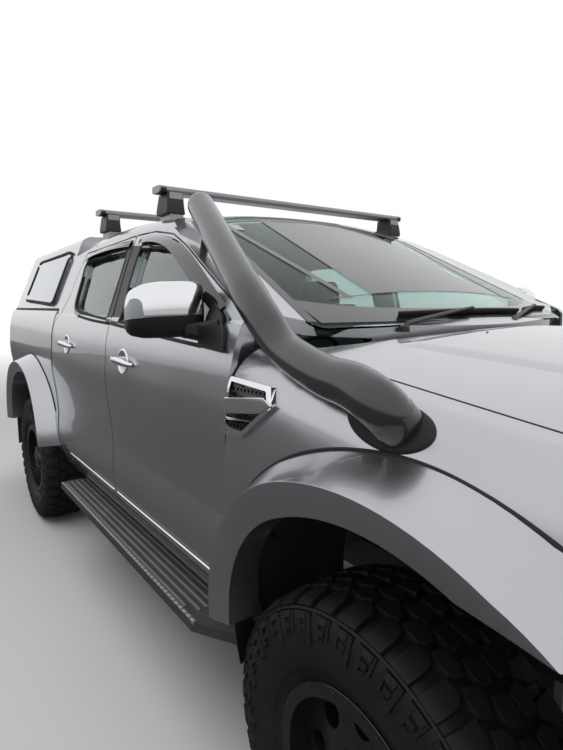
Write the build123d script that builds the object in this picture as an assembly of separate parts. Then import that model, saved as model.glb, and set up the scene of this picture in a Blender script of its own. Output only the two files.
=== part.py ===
from functools import lru_cache
import os

from build123d import *

# Lifted dual-cab 4x4 utility with a canopy, snorkel and wide flares. Millimetres.
# +X is forward, +Y is the left side, +Z is up. The origin is on the ground,
# half way between the foremost and the rearmost points, on the centre plane.

# Running gear
WHEELBASE = 3220
FRONT_AXLE_X = 1772
REAR_AXLE_X = FRONT_AXLE_X - WHEELBASE
TYRE_R = 435
TYRE_WIDTH = 312
TYRE_OUTER_Y = 974
BEAD_R = 218
RIM_LIP_R = 236
RIM_WINDOWS = 8
RIM_FACE_Y = 882
BEAD_IN = 26
TREAD_HALF = 70
AXLE_Z = TYRE_R
WHEEL_Y = TYRE_OUTER_Y - TYRE_WIDTH / 2
KINGPIN_Y = 735
SEAT_GAP = 0.3
RUN_GAP = 0.05
WHEEL_SWEEP_R = 485

# Body lengths and heights
BODY_FRONT_X = 2677
BODY_REAR_X = -2677
CAB_REAR_X = -815
TUB_FRONT_X = -835
TUB_REAR_X = -2535
SPLIT_X = 185
SILL_Z = 545
DOOR_LOW_Z = 620
BELT_Z = 1462
RAIL_Z = 1835
ROOF_Z = 1925
TUB_RAIL_Z = 1475
FLOOR_Z = 740
TUB_FLOOR_Z = 985
FIREWALL_X = 1335
CAB_INNER_Y = 775
ROOF_RADIUS = 6500
ROOF_CROWN_X = -50

# Gaps and walls
SHUT_GAP = 7
SKIN = 20
SEAL_GAP = 5
DOOR_LAP = 35
EDGE_SWING = 16
EDGE_REACH = 58
EDGE_TOP_Z = 1811
POCKET_TOP_Z = 1522
APERTURE_GAP = 8
GLASS = 5
PANEL = 12
DOOR_INNER_Y = 790
FRAME_WALL = 42

# Outer skin of the body side, rising from the sill to the roof rail.
# Columns: end half-width, end height, half-width and height of the arc's middle
SIDE_START = (872, SILL_Z)
SIDE_ROWS = [
    (897, 605, None, None),
    (921, 735, 912, 668),
    (913, 872, 919.5, 803),
    (926, 1060, 917.5, 965),
    (929, 1270, 935, 1165),
    (893, 1450, 917, 1368),
    (880, BELT_Z, None, None),
    (748, RAIL_Z, 819, 1650),
]

# Windscreen: a slice of a cylinder that leans back, with its base bowed forward
WS_BASE = (1470, 1440)
WS_TOP = (504, 1897)
WS_RADIUS = 5000
WS_PILLAR_Y = 705
WS_LOW_HALF = 705
WS_TOP_HALF = 600

# Bonnet and guards. Columns: x, sill y, widest y, widest z, shoulder y,
# shoulder z, shut-line y, shut-line z, crown z
NOSE_ROWS = [
    (1190, 898, 934, 1150, 926, 1290, 800, 1400, 1462),
    (1800, 902, 925, 1060, 908, 1200, 778, 1313, 1400),
    (2640, 840, 880, 1000, 850, 1110, 730, 1205, 1285),
]
NOSE_LOW_Z = 600
SHUT_Y_REAR = 775
HINGE_PIN_R = 6
SHUT_Y_FRONT = 735
SCUTTLE_R = 1530
BONNET_REAR_R = 1602
PLAN_CENTRE_X = -40
BONNET_HINGE_X = 1385
BONNET_HINGE_Z = 1350
BONNET_HINGE_Y = 640
BONNET_DEPTH = 26
BUMPER_LINE = 3
LAMP_LOW_Z = 1010
LAMP_DEPTH = 70
LAMP_INNER_Y = 453
GRILLE_HALF = 436
GRILLE_LOW_Z = 893

# Door outlines in side view. Columns: x, z, corner radius
FRONT_DOOR = [
    (SPLIT_X + SHUT_GAP / 2, DOOR_LOW_Z, 15),
    (1178, DOOR_LOW_Z, 40),
    (1205, 872, 300),
    (1243, 1150, 500),
    (1279, 1466, 20),
    (748, 1716, 160),
    (600, 1772, 200),
    (400, 1804, 200),
    (SPLIT_X + SHUT_GAP / 2, 1810, 15),
]
FRONT_WINDOW = [
    (290, 1432, 12),
    (700, 1412, 300),
    (1185, 1392, 18),
    (1170, 1452, 18),
    (745, 1666, 120),
    (590, 1720, 120),
    (290, 1752, 25),
]
REAR_DOOR = [
    (SPLIT_X - SHUT_GAP / 2, DOOR_LOW_Z, 15),
    (-640, DOOR_LOW_Z, 60),
    (-800, 760, 120),
    (-800, 1400, 40),
    (-640, 1560, 80),
    (-560, 1790, 40),
    (SPLIT_X - SHUT_GAP / 2, 1810, 15),
]
REAR_WINDOW = [
    (118, 1440, 12),
    (-330, 1466, 60),
    (-490, 1505, 50),
    (-485, 1745, 30),
    (118, 1754, 20),
]
DOOR_AXIS_Y = 918
FRONT_DOOR_AXIS_X = 1150
REAR_DOOR_AXIS_X = 125

# Wheel openings and flares, about each axle. Columns: x from the axle, z
FRONT_OPENING = [(-402, 600), (-355, 880), (-170, 1032), (60, 1083), (330, 1030), (515, 880), (585, 600)]
FRONT_CREASE = [(-470, 600), (-410, 925), (-200, 1110), (60, 1160), (360, 1095), (590, 920), (668, 600)]
FRONT_FLARE = [(-552, 600), (-505, 930), (-290, 1140), (45, 1222), (380, 1150), (655, 960), (748, 600)]
REAR_OPENING = [(-475, 600), (-430, 860), (-240, 1010), (0, 1055), (240, 1010), (430, 860), (475, 600)]
REAR_CREASE = [(-545, 600), (-490, 890), (-280, 1075), (0, 1128), (280, 1075), (480, 890), (535, 600)]
REAR_FLARE = [(-620, 600), (-560, 920), (-310, 1125), (0, 1190), (300, 1120), (525, 915), (598, 600)]
FLARE_Y = 1030
FLARE_LIP_Y = 1004
FLARE_ROOT_Y = 880
FLARE_LOW_Z = 645
FLARE_NOSE_X = 2020
FLARE_NOSE_Z = 1048
LINER_GROW = 30
LINER_INNER_Y = 560
LINER_WALL = 4

# Tub and canopy
TAIL_TAPER = 0.0265
GATE_ROOM = 80
GATE_HINGE = (-2502, 1015)
GATE_TOP_GAP = 9
TUB_SILLS = ((-1250, 800), (-1650, 800), (-2250, 745))
CANOPY_BASE_Y = 868
CANOPY_EAVE_Y = 716
CANOPY_EAVE_Z = 1876
CANOPY_TOP_Z = 1946
CANOPY_WALL = 25
CANOPY_REAR_TOP_X = -2372
CANOPY_REAR_LOW_X = -2508
CANOPY_PANE = 12
CANOPY_OVERLAP = 18
CANOPY_WINDOW = [
    (-1050, 1526, 40),
    (-2085, 1560, 40),
    (-1985, 1828, 60),
    (-985, 1828, 40),
]

# Outside fittings
MIRROR_AT = (1015, 1012, 1490)
MIRROR_HEAD = (100, 212, 174)
MIRROR_TURN = 14
MIRROR_SAIL = [(1215, 1374, 6), (1085, 1380, 6), (1100, 1436, 20), (1172, 1462, 10)]
ROOF_BARS = ((366, 2000), (-416, 2016))
ROOF_BAR_HALF = 737
STEP_REAR_X = -560
STEP_FRONT_X = 1235
STEP_Y = 985
STEP_Z = 508
SNORKEL_R = 50
SNORKEL_FOOT = Vector(1821, -873, 1265)
SNORKEL_NORMAL = Vector(0.08, -0.744, 0.668)
SNORKEL_PATH = [
    Vector(675, -691, 1875),
    Vector(1318, -880, 1508),
    Vector(1450, -880, 1395),
    Vector(1640, -907, 1342),
    Vector(1720, -905, 1335),
    SNORKEL_FOOT + SNORKEL_NORMAL * 62,
    SNORKEL_FOOT - SNORKEL_NORMAL * 64,
]
SNORKEL_RADII = [250, 250, 150, 150, 60]
SNORKEL_FLANGE_AT = SNORKEL_FOOT - Vector(20, 0, 0)
FLANGE_HALF = (108, 57)
FLANGE_THICK = 10
TONGUE_THICK = 19
TOW_HOLE_X = -2645
TOW_HOLE_R = 11.1

# Under the body
FRAME_Y = 395
FRAME_REAR_X = -2500
FRAME_FRONT_X = 2350
HUB_BORE_R = 38
KINGPIN_R = 16
RAIL_HALF = 35
RAIL_TOP = FLOOR_Z - 40 - SEAT_GAP
RAIL_LOW = 585
SPRING_Y = 545
LEAF_HALVES = (620, 470, 320, 170)
LEAF = 10
LEAF_RISE = 70
LEAF_LOW_Z = 496
POST_HALF = 135
POST_R = 34
STRUT_OFFSET = -66
RACK_OFFSET = -100
CROSS_MEMBERS = ((2300, 600), (1250, 600), (600, 600), (-300, 600), (-1100, 705), (-1950, 660), (-2450, 640))
SPARE_X = -2065
SPARE_R = 370

# Cabin and small fittings
STEERING_AT = (880, -360, 1230)
STEERING_AXIS = (0.87, 0, -0.49)
STEERING_R = 180
VENT_PROUD = 14

os.makedirs("parts", exist_ok=True)


def box(x0, x1, y0, y1, z0, z1):
    """A block between two corners."""
    size = Box(x1 - x0, y1 - y0, z1 - z0)
    return Pos((x0 + x1) / 2, (y0 + y1) / 2, (z0 + z1) / 2) * size


def rod(start, end, radius):
    """A round bar between two points."""
    a = Vector(*start)
    b = Vector(*end)
    frame = Plane(origin=a, z_dir=b - a)
    return extrude(frame * Circle(radius), amount=(b - a).length)


def both(shape):
    """The shape and its mirror image on the other side."""
    return shape + mirror(shape, about=Plane.XZ)


def solids(*shapes):
    """One node made of separate solids."""
    found = []
    for shape in shapes:
        found.extend(shape.solids())
    return Compound(children=found)


def save(name, shape):
    """Write one node."""
    export_step(shape, os.path.join("parts", name + ".step"))


def rounded_face(rows):
    """A flat face from corners with their radii, in its own plane."""
    wire = FilletPolyline([(row[0], row[1]) for row in rows], radius=[row[2] for row in rows], close=True)
    return make_face(wire)


def side_prism(face, y0, y1):
    """A side-view face made into a prism from y0 out to y1."""
    return extrude(Pos(0, y0, 0) * (Plane.XZ * face), amount=y0 - y1)


def grown(face, amount):
    """The same face with its outline moved outwards."""
    return offset(face, amount=amount, kind=Kind.INTERSECTION)


def side_edges(shift, last=None):
    """The body-side curve moved inwards, as edges from the sill upwards."""
    edges = []
    start = (SIDE_START[0] - shift, SIDE_START[1])
    for end_y, end_z, mid_y, mid_z in SIDE_ROWS[:last]:
        end = (end_y - shift, end_z)
        if mid_y is None:
            edges.append(Line(start, end))
        else:
            edges.append(ThreePointArc(start, (mid_y - shift, mid_z), end))
        start = end
    return edges


def side_band(outer_shift, inner_shift, x0, x1):
    """The wall between two copies of the body-side curve, from x0 to x1."""
    outer = side_edges(outer_shift)
    inner = side_edges(inner_shift)
    low = Line(inner[0] @ 0, outer[0] @ 0)
    top = Line(outer[-1] @ 1, inner[-1] @ 1)
    face = make_face(outer + [low, top] + inner)
    return extrude(Plane.YZ.offset(x0) * face, amount=x1 - x0)


def side_body(x0, x1, rows=None):
    """Everything inside the body-side curve, on the left of the centre plane."""
    edges = side_edges(0, rows)
    low = Line((0, SILL_Z), edges[0] @ 0)
    top = Line(edges[-1] @ 1, (0, (edges[-1] @ 1).Y))
    face = make_face(edges + [low, top, Line((0, (edges[-1] @ 1).Y), (0, SILL_Z))])
    return extrude(Plane.YZ.offset(x0) * face, amount=x1 - x0)


# Cab


def windscreen_frame():
    """The plane square to the windscreen's slope, at its base."""
    slope = Vector(WS_TOP[0] - WS_BASE[0], 0, WS_TOP[1] - WS_BASE[1])
    return Plane(origin=(WS_BASE[0], 0, WS_BASE[1]), x_dir=(0, 1, 0), z_dir=slope)


def windscreen_solid(depth):
    """All that lies behind the windscreen's face and its pillars, moved inwards by depth."""
    edge = WS_PILLAR_Y
    sag = WS_RADIUS - (WS_RADIUS ** 2 - edge ** 2) ** 0.5 + depth
    outline = [
        ThreePointArc((-edge, sag), (0, depth), (edge, sag)),
        Line((edge, sag), (1100, sag)),
        Line((1100, sag), (1100, 3000)),
        Line((1100, 3000), (-1100, 3000)),
        Line((-1100, 3000), (-1100, sag)),
        Line((-1100, sag), (-edge, sag)),
    ]
    return extrude(windscreen_frame() * make_face(outline), amount=4000, both=True)


def windscreen_cutter(grow):
    """A prism square to the glass with the outline of the windscreen."""
    slope = Vector(WS_TOP[0] - WS_BASE[0], 0, WS_TOP[1] - WS_BASE[1])
    length = slope.length
    frame = Plane(origin=(WS_BASE[0], 0, WS_BASE[1]), x_dir=(0, 1, 0),
                  z_dir=slope.normalized().cross(Vector(0, 1, 0)))
    rows = [
        (-WS_LOW_HALF, 92, 60),
        (-WS_LOW_HALF * 0.6, 32, 900),
        (WS_LOW_HALF * 0.6, 32, 900),
        (WS_LOW_HALF, 92, 60),
        (WS_TOP_HALF, length - 75, 60),
        (WS_TOP_HALF * 0.6, length - 42, 900),
        (-WS_TOP_HALF * 0.6, length - 42, 900),
        (-WS_TOP_HALF, length - 75, 60),
    ]
    sign = 1 if frame.y_dir.Z > 0 else -1
    rows = [(u, sign * v, r) for u, v, r in rows]
    return extrude(frame * grown(rounded_face(rows), grow), amount=400, both=True)


def roof_solid(inset):
    """All that lies under the roof skin, crowned both ways, moved in by inset."""
    top = ROOF_Z - inset
    rail = RAIL_Z - inset
    half = 748 - inset
    edges = [
        ThreePointArc((0, top), (half * 0.5, top - 12), (half - 70, rail + 44)),
        ThreePointArc((half - 70, rail + 44), (half - 22, rail + 26), (half, rail)),
        Line((half, rail), (1200, rail)),
        Line((1200, rail), (1200, 0)),
        Line((1200, 0), (0, 0)),
        Line((0, 0), (0, top)),
    ]
    axis = Axis((ROOF_CROWN_X, 0, ROOF_Z - ROOF_RADIUS), (0, 1, 0))
    start = Plane.YZ.offset(ROOF_CROWN_X) * make_face(edges)
    front = revolve(start, axis, 16)
    rear = revolve(start, axis, -16)
    return front + rear


def cab_profile(rows):
    """A side-view prism over the whole width of the cab."""
    face = make_face(Polyline([(row[0], row[1]) for row in rows], close=True))
    return side_prism(face, 0, 1100)


def cab_outer():
    """The cab's outer form on the left side."""
    rows = [(CAB_REAR_X, SILL_Z), (1205, SILL_Z), (1290, 700), (FIREWALL_X, 800), (FIREWALL_X, 1300),
            (1490, 1325), (1490, 1500), (400, 2000), (CAB_REAR_X + 60, 2000), (CAB_REAR_X + 30, 1850),
            (CAB_REAR_X, 1480)]
    tall = side_edges(0)
    roof_line = make_face(tall + [Line((0, SILL_Z), tall[0] @ 0), Line(tall[-1] @ 1, (640, 2140)),
                                  Line((640, 2140), (0, 2140)), Line((0, 2140), (0, SILL_Z))])
    body = extrude(Plane.YZ.offset(CAB_REAR_X) * roof_line, amount=1500 - CAB_REAR_X) & cab_profile(rows)
    return body & windscreen_solid(0) & roof_solid(0) & plan_disc(SCUTTLE_R, SILL_Z, 3000)


def cab_inner():
    """The cabin's air space on the left side."""
    rows = [(CAB_REAR_X + 42, FLOOR_Z), (1205, FLOOR_Z), (1295, 830), (1295, 1330), (1400, 1390), (1420, 1500),
            (400, 2000), (CAB_REAR_X + 100, 2000), (CAB_REAR_X + 42, 1480)]
    section = [(0, FLOOR_Z), (CAB_INNER_Y, FLOOR_Z), (CAB_INNER_Y, 1425), (834, BELT_Z), (834 - 132, RAIL_Z - 5),
               (600, 2100), (0, 2100)]
    face = make_face(Polyline(section, close=True))
    body = extrude(Plane.YZ.offset(CAB_REAR_X) * face, amount=2400) & cab_profile(rows)
    return body & windscreen_solid(38) & roof_solid(45)


def door_aperture(face, axis_x, sweep_r):
    """What the cab loses for one door: the rabbet, the opening, the hinge pocket and the leading edge's swing."""
    rabbet = side_band(-60, SKIN + SEAL_GAP, -900, 1400) & side_prism(grown(face, SHUT_GAP), 600, 1100)
    edge = side_band(-60, SKIN + SEAL_GAP + EDGE_SWING, -900, 1400)
    edge &= box(axis_x - 30, axis_x + EDGE_REACH, 600, 1100, POCKET_TOP_Z - 17, EDGE_TOP_Z)
    opening = side_prism(grown(face, APERTURE_GAP - DOOR_LAP), 500, 1100)
    pocket = Pos(axis_x, DOOR_AXIS_Y, DOOR_LOW_Z - SHUT_GAP) * Cylinder(
        sweep_r, POCKET_TOP_Z - DOOR_LOW_Z, align=(Align.CENTER, Align.CENTER, Align.MIN))
    return [rabbet, opening, pocket, edge]


def bump_stop(x, z, shift_y):
    """A rubber stop on the aperture that the closed door meets."""
    length = SEAL_GAP - SEAT_GAP + 4
    return Pos(x, shift_y - SKIN - SEAT_GAP - length / 2, z) * Rot(90, 0, 0) * Cylinder(8, length)


def cab_shell():
    """Floor, sills, pillars, scuttle, roof and rear wall, as one shell."""
    half = cab_outer() - cab_inner()
    half -= box(-900, 1400, -1, 720, SILL_Z - 10, FLOOR_Z - 40)
    front = rounded_face(FRONT_DOOR)
    rear = rounded_face(REAR_DOOR)
    for cutter in door_aperture(front, FRONT_DOOR_AXIS_X, 146):
        half -= cutter
    for cutter in door_aperture(rear, REAR_DOOR_AXIS_X, 92):
        half -= cutter
    half -= box(REAR_DOOR_AXIS_X - 32, REAR_DOOR_AXIS_X + 32, 722, 760, 1772, EDGE_TOP_Z + 5)
    screen = windscreen_cutter(SEAT_GAP * 10)
    half -= (windscreen_solid(-50) - windscreen_solid(GLASS + 2)) & screen
    half -= (windscreen_solid(-50) - windscreen_solid(200)) & windscreen_cutter(-16)
    half -= rear_window_cutter(-12, 900)
    half -= rear_window_cutter(3, GLASS + 1)
    stops = bump_stop(SPLIT_X + 22, 1000, 920.8) + bump_stop(-780, 1000, 920.8)
    half += (stops & side_body(CAB_REAR_X, 1500)) - side_band(-60, SKIN + SEAT_GAP, -900, 1400)
    x, y, z = BONNET_HINGE_X, BONNET_HINGE_Y, BONNET_HINGE_Z
    half += box(1325, x + 9, y + 18, y + 30, z - 40, z + 9) + rod((x, y - 14, z), (x, y + 30, z), HINGE_PIN_R)
    return both(half)


def rear_window_cutter(grow, depth):
    """The rear screen's outline cut forwards from the back wall."""
    face = rounded_face([(-560, 1500, 50), (560, 1500, 50), (500, 1810, 60), (-500, 1810, 60)])
    slab = extrude(Plane.YZ.offset(CAB_REAR_X - 50) * grown(face, grow), amount=50 + depth)
    return slab


def cab_glass():
    """Windscreen and rear screen."""
    screen = (windscreen_solid(SEAT_GAP) - windscreen_solid(GLASS + 1.7)) & windscreen_cutter(0)
    rear = rear_window_cutter(2.7, GLASS + 0.7) & box(CAB_REAR_X, CAB_REAR_X + 60, -700, 700, 1400, 1900)
    return screen, rear


# Bonnet, guards and nose


def nose_face(row, inset):
    """Half of one cross-section of the nose, from the sill to the bonnet's crown."""
    x, sill_y, side_y, side_z, shoulder_y, shoulder_z, shut_y, shut_z, crown_z = row
    sill = (sill_y - inset, NOSE_LOW_Z)
    shoulder = (shoulder_y - inset, shoulder_z)
    shut = (shut_y - inset * 0.3, shut_z - inset)
    crown = (0, crown_z - inset)
    bulge_y = (shoulder[0] + shut[0]) / 2 + 0.17 * (shut[1] - shoulder[1])
    bulge_z = (shoulder[1] + shut[1]) / 2 + 0.17 * (shoulder[0] - shut[0])
    edges = [
        Line((0, NOSE_LOW_Z), sill),
        ThreePointArc(sill, (side_y - inset, side_z), shoulder),
        ThreePointArc(shoulder, (bulge_y, bulge_z), shut),
        ThreePointArc(shut, (shut[0] * 0.5, crown[1] - 0.27 * (crown[1] - shut[1])), crown),
        Line(crown, (0, NOSE_LOW_Z)),
    ]
    return Plane.YZ.offset(x) * make_face(edges)


def nose_plan(inset):
    """The nose seen from above, as a tall prism on the left side."""
    edges = [
        Line((1000, -5), (1000, 990)),
        Line((1000, 990), (2150 - inset, 990)),
        ThreePointArc((2150 - inset, 990), (2425 - inset, 845), (2535 - inset, 690)),
        ThreePointArc((2535 - inset, 690), (2612 - inset, 360), (2640 - inset, -5)),
        Line((2640 - inset, -5), (1000, -5)),
    ]
    return extrude(Plane.XY.offset(500) * make_face(edges), amount=1100)


def nose_front(inset):
    """The plan and the side view of the nose, crossed."""
    side = side_prism(make_face([
        Line((1000, 500), (2720 - inset, 500)),
        Line((2720 - inset, 500), (2650 - inset, 1060)),
        ThreePointArc((2650 - inset, 1060), (2618 - inset, 1175), (2520 - inset, 1262 - inset)),
        Line((2520 - inset, 1262 - inset), (1000, 1700)),
        Line((1000, 1700), (1000, 500)),
    ]), -5, 1100)
    return nose_plan(inset) & side


@lru_cache(maxsize=None)
def nose_solid(inset):
    """The filled nose on the left side, moved inwards by inset."""
    return loft([nose_face(row, inset) for row in NOSE_ROWS]) & nose_front(inset)


def plan_disc(radius, low, height):
    """A disc about the centre of the windscreen's base curve."""
    return Pos(PLAN_CENTRE_X, 0, low + height / 2) * Cylinder(radius, height)


def bonnet_plan(grow):
    """The bonnet's outline from above, as a tall prism."""
    rear = SHUT_Y_REAR + grow
    front = SHUT_Y_FRONT + grow
    edges = [
        Line((1250, 0), (1250, rear)),
        Line((1250, rear), (2300, front)),
        ThreePointArc((2300, front), (2440 + grow, front - 60), (2500 + grow, front - 210)),
        ThreePointArc((2500 + grow, front - 210), (2545 + grow, 250), (2556 + grow, 0)),
        Line((2556 + grow, 0), (1250, 0)),
    ]
    low = 1150
    prism = extrude(Plane.XY.offset(low) * make_face(edges), amount=500)
    return prism - plan_disc(BONNET_REAR_R - grow, low, 500)


def bonnet():
    """The bonnet skin with its two hinge lugs."""
    half = (nose_solid(0) - nose_solid(BONNET_DEPTH)) & bonnet_plan(-SHUT_GAP / 2)
    x, y, z = BONNET_HINGE_X, BONNET_HINGE_Y, BONNET_HINGE_Z
    lug = box(x, x + 80, y - 12, y + 12, z - 12, z + 10) + rod((x, y - 12, z), (x, y + 12, z), 12)
    half += lug - rod((x, y - 20, z), (x, y + 20, z), HINGE_PIN_R + RUN_GAP)
    return both(half)


def lamp_zone(grow):
    """The headlamp's outline in side view as a prism."""
    rows = [(2215, 1128, 20), (2330, 1035, 30), (2700, 1000, 10), (2700, 1172, 10), (2330, 1188, 30)]
    face = grown(rounded_face(rows), grow)
    return side_prism(face, LAMP_INNER_Y - grow, 1100)


def bumper_zone(grow=0):
    """Everything below the lamps and ahead of the front wheel opening."""
    rows = [(2330, 500), (2330, 1000), (2400, LAMP_LOW_Z), (2800, LAMP_LOW_Z - 30), (2800, 500)]
    return side_prism(grown(make_face(Polyline(rows, close=True)), grow), -5, 1200)


def opening_face(rows, axle_x):
    """A wheel opening or flare outline: three tangent-like arcs over a flat foot."""
    pts = [(axle_x + u, v) for u, v in rows]
    edges = [
        ThreePointArc(pts[0], pts[1], pts[2]),
        ThreePointArc(pts[2], pts[3], pts[4]),
        ThreePointArc(pts[4], pts[5], pts[6]),
    ]
    foot_left = (pts[0][0], 300)
    foot_right = (pts[6][0], 300)
    edges += [Line(pts[6], foot_right), Line(foot_right, foot_left), Line(foot_left, pts[0])]
    return make_face(edges)


def front_guards():
    """The two front guards."""
    shell = nose_solid(0) - nose_solid(PANEL)
    shell -= bonnet_plan(SHUT_GAP / 2)
    shell -= side_prism(opening_face(FRONT_OPENING, FRONT_AXLE_X), 500, 1200)
    shell -= side_prism(grown(rounded_face(FRONT_DOOR), SHUT_GAP), 500, 1200)
    shell -= lamp_zone(3)
    shell -= bumper_zone(BUMPER_LINE)
    shell -= box(1200, 1600, 0, SHUT_Y_REAR + SHUT_GAP / 2, 1200, 1600)
    shell -= wheel_sweep()
    keep = side_prism(make_face(Polyline(
        [(1150, 600), (1150, 1500), (1310, 1500), (1700, 1420), (2400, 1300), (2400, 600)], close=True)), 560, 1200)
    return both((shell & keep) - plan_disc(SCUTTLE_R + SEAT_GAP, 500, 1200))


def wheel_sweep():
    """The room that the left front tyre needs as it steers, outboard of the frame."""
    ball = Pos(FRONT_AXLE_X, KINGPIN_Y, AXLE_Z) * Sphere(WHEEL_SWEEP_R)
    return ball & box(1000, 2500, 560, 1300, 0, 1000)


def headlamps():
    """Two wrap-round headlamps."""
    half = (nose_solid(1) - nose_solid(LAMP_DEPTH)) & lamp_zone(0)
    half += (nose_solid(PANEL + SEAT_GAP) - nose_solid(LAMP_DEPTH)) & lamp_zone(12)
    half -= bonnet_plan(SHUT_GAP / 2)
    return both(half)


def front_bumper():
    """The bumper with its lower intake and fog-lamp pockets."""
    half = (nose_solid(0) - nose_solid(60)) & bumper_zone()
    lower = nose_plan(2640 - BODY_FRONT_X) - nose_plan(40)
    low_face = make_face(Polyline([(2332, 600), (2332, 800), (2420, 860), (2800, 860), (2800, 640), (2600, 600)],
                                  close=True))
    lower = lower & side_prism(low_face, -5, 850)
    half = half + lower
    half -= side_prism(opening_face(FRONT_OPENING, FRONT_AXLE_X), 300, 1200)
    half -= box(2300, 2800, -10, GRILLE_HALF + 4, GRILLE_LOW_Z - SEAT_GAP, 1100)
    half -= box(2300, 2800, -10, 380, 690, 800)
    half -= Pos(2500, 590, 745) * Rot(0, 90, 0) * Cylinder(58, 400)
    half += box(FRAME_FRONT_X + SEAT_GAP, 2600, FRAME_Y - 25, FRAME_Y + 25, 625, 685)
    return both(half)


def grille():
    """A barred frame with a mesh behind it, between the headlamps."""
    half = (nose_front(4) - nose_front(44)) & box(2300, 2800, 0, GRILLE_HALF, GRILLE_LOW_Z, 1172)
    for z in (915, 985, 1055, 1125):
        for y0, y1 in ((12, 150), (162, 285), (297, 412)):
            half -= box(2300, 2800, y0, y1, z, min(z + 45, 1162))
    mesh = (nose_front(44 + SEAT_GAP) - nose_front(50)) & box(2300, 2800, 0, 425, 900, 1165)
    return both(half), both(mesh)


# Flares and liners


def flare(opening, crease, outline, axle_x):
    """One wheel flare: a bulged face, a tucked lip and narrow feet."""
    outer = loft([
        Pos(0, FLARE_ROOT_Y, 0) * (Plane.XZ * opening_face(outline, axle_x)),
        Pos(0, FLARE_Y, 0) * (Plane.XZ * opening_face(crease, axle_x)),
    ], ruled=True)
    lip = loft([
        Pos(0, FLARE_LIP_Y, 0) * (Plane.XZ * opening_face(opening, axle_x)),
        Pos(0, FLARE_Y + 1, 0) * (Plane.XZ * opening_face(crease, axle_x)),
    ], ruled=True)
    body = outer - lip - side_prism(opening_face(opening, axle_x), 700, 1200)
    return body & box(-4000, 4000, FLARE_ROOT_Y, 1200, FLARE_LOW_Z, 1400)


def flares():
    """Four flares, two on each side, cut to sit on the body side."""
    front = flare(FRONT_OPENING, FRONT_CREASE, FRONT_FLARE, FRONT_AXLE_X)
    front -= nose_solid(-SEAT_GAP)
    front -= wheel_sweep()
    front &= box(FRONT_AXLE_X - 545, 2500, 800, 1200, FLARE_LOW_Z, 1400)
    front -= box(FLARE_NOSE_X, 2500, 800, 1200, 0, FLARE_NOSE_Z)
    rear = flare(REAR_OPENING, REAR_CREASE, REAR_FLARE, REAR_AXLE_X)
    rear -= taper_extrude(tub_section(SEAT_GAP), TUB_FRONT_X, TUB_REAR_X)
    side = solids(front, rear)
    return solids(side, mirror(side, about=Plane.XZ))


def liner():
    """A bent sheet over each front tyre, cut to meet the guard's inner face."""
    face = opening_face(FRONT_OPENING, FRONT_AXLE_X)
    y0, y1 = LINER_INNER_Y, FLARE_Y
    sheet = side_prism(grown(face, LINER_GROW), y0, y1)
    sheet -= side_prism(grown(face, LINER_GROW - LINER_WALL), y0 - 1, y1 + 1)
    sheet &= nose_solid(PANEL + SEAT_GAP)
    sheet -= wheel_sweep() + bumper_zone(SEAT_GAP)
    return both(sheet & box(1000, 2400, y0, y1, NOSE_LOW_Z, 1400))


# Doors


def door_core_band():
    """The thick inner part of the doors, between the skin and the trim."""
    outer = side_edges(SKIN)
    trim = [
        Line((DOOR_INNER_Y, SILL_Z), (DOOR_INNER_Y, 1425)),
        Line((DOOR_INNER_Y, 1425), (SIDE_ROWS[-2][0] - FRAME_WALL, BELT_Z)),
        Line((SIDE_ROWS[-2][0] - FRAME_WALL, BELT_Z), (SIDE_ROWS[-1][0] - FRAME_WALL, RAIL_Z)),
    ]
    low = Line((DOOR_INNER_Y, SILL_Z), outer[0] @ 0)
    top = Line(outer[-1] @ 1, (SIDE_ROWS[-1][0] - FRAME_WALL, RAIL_Z))
    return extrude(Plane.YZ.offset(-900) * make_face(outer + [low, top] + trim), amount=2300)


def door(rows, window_rows):
    """A left-hand door with its window cut and a groove for the glass."""
    face = rounded_face(rows)
    window = rounded_face(window_rows)
    skin = side_band(0, SKIN, -900, 1400) & side_prism(face, 600, 1100)
    core = door_core_band() & side_prism(grown(face, -DOOR_LAP), 500, 1100)
    panel = skin + core
    panel -= side_prism(window, 500, 1100)
    groove = side_band(SKIN + 2 - SEAT_GAP, SKIN + 2 + GLASS + SEAT_GAP, -900, 1400)
    panel -= groove & side_prism(grown(window, 12 + SEAT_GAP), 500, 1100)
    return panel


def door_glass(window_rows):
    """The side glass of a left-hand door."""
    pane = side_band(SKIN + 2, SKIN + 2 + GLASS, -900, 1400)
    return pane & side_prism(grown(rounded_face(window_rows), 12), 500, 1100)


def mirror_head():
    """A left-hand mirror: sail, arm, and a rounded housing with its glass recess."""
    depth, width, height = MIRROR_HEAD
    head = Box(depth, width, height)
    head = fillet(head.edges().filter_by(Axis.Z), 30)
    head = fillet(head.edges().group_by(Axis.Z)[-1], 34)
    head = fillet(head.edges().group_by(Axis.Z)[0], 24)
    head -= Pos(-depth / 2, 0, 0) * Box(18, width - 32, height - 34)
    head = Pos(*MIRROR_AT) * Rot(0, 0, MIRROR_TURN) * head
    arm_z = MIRROR_AT[2] - height / 2 + 20
    arm = rod((1146, 890, arm_z + 6), (MIRROR_AT[0] + 20, MIRROR_AT[1] - 40, arm_z), 26)
    outside = (head + arm) - side_band(-SEAT_GAP, 60, 900, 1400)
    return outside + (side_band(-16, -SEAT_GAP, 900, 1400) & side_prism(rounded_face(MIRROR_SAIL), 600, 1100))


# Tub, tailgate and canopy


def taper_extrude(face, x0, x1):
    """A section run backwards from x0 to x1, drawing in towards the tail."""
    run = x0 - x1
    return extrude(Plane.YZ.offset(x0) * face, amount=run, dir=(-1, -TAIL_TAPER, 0))


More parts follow.
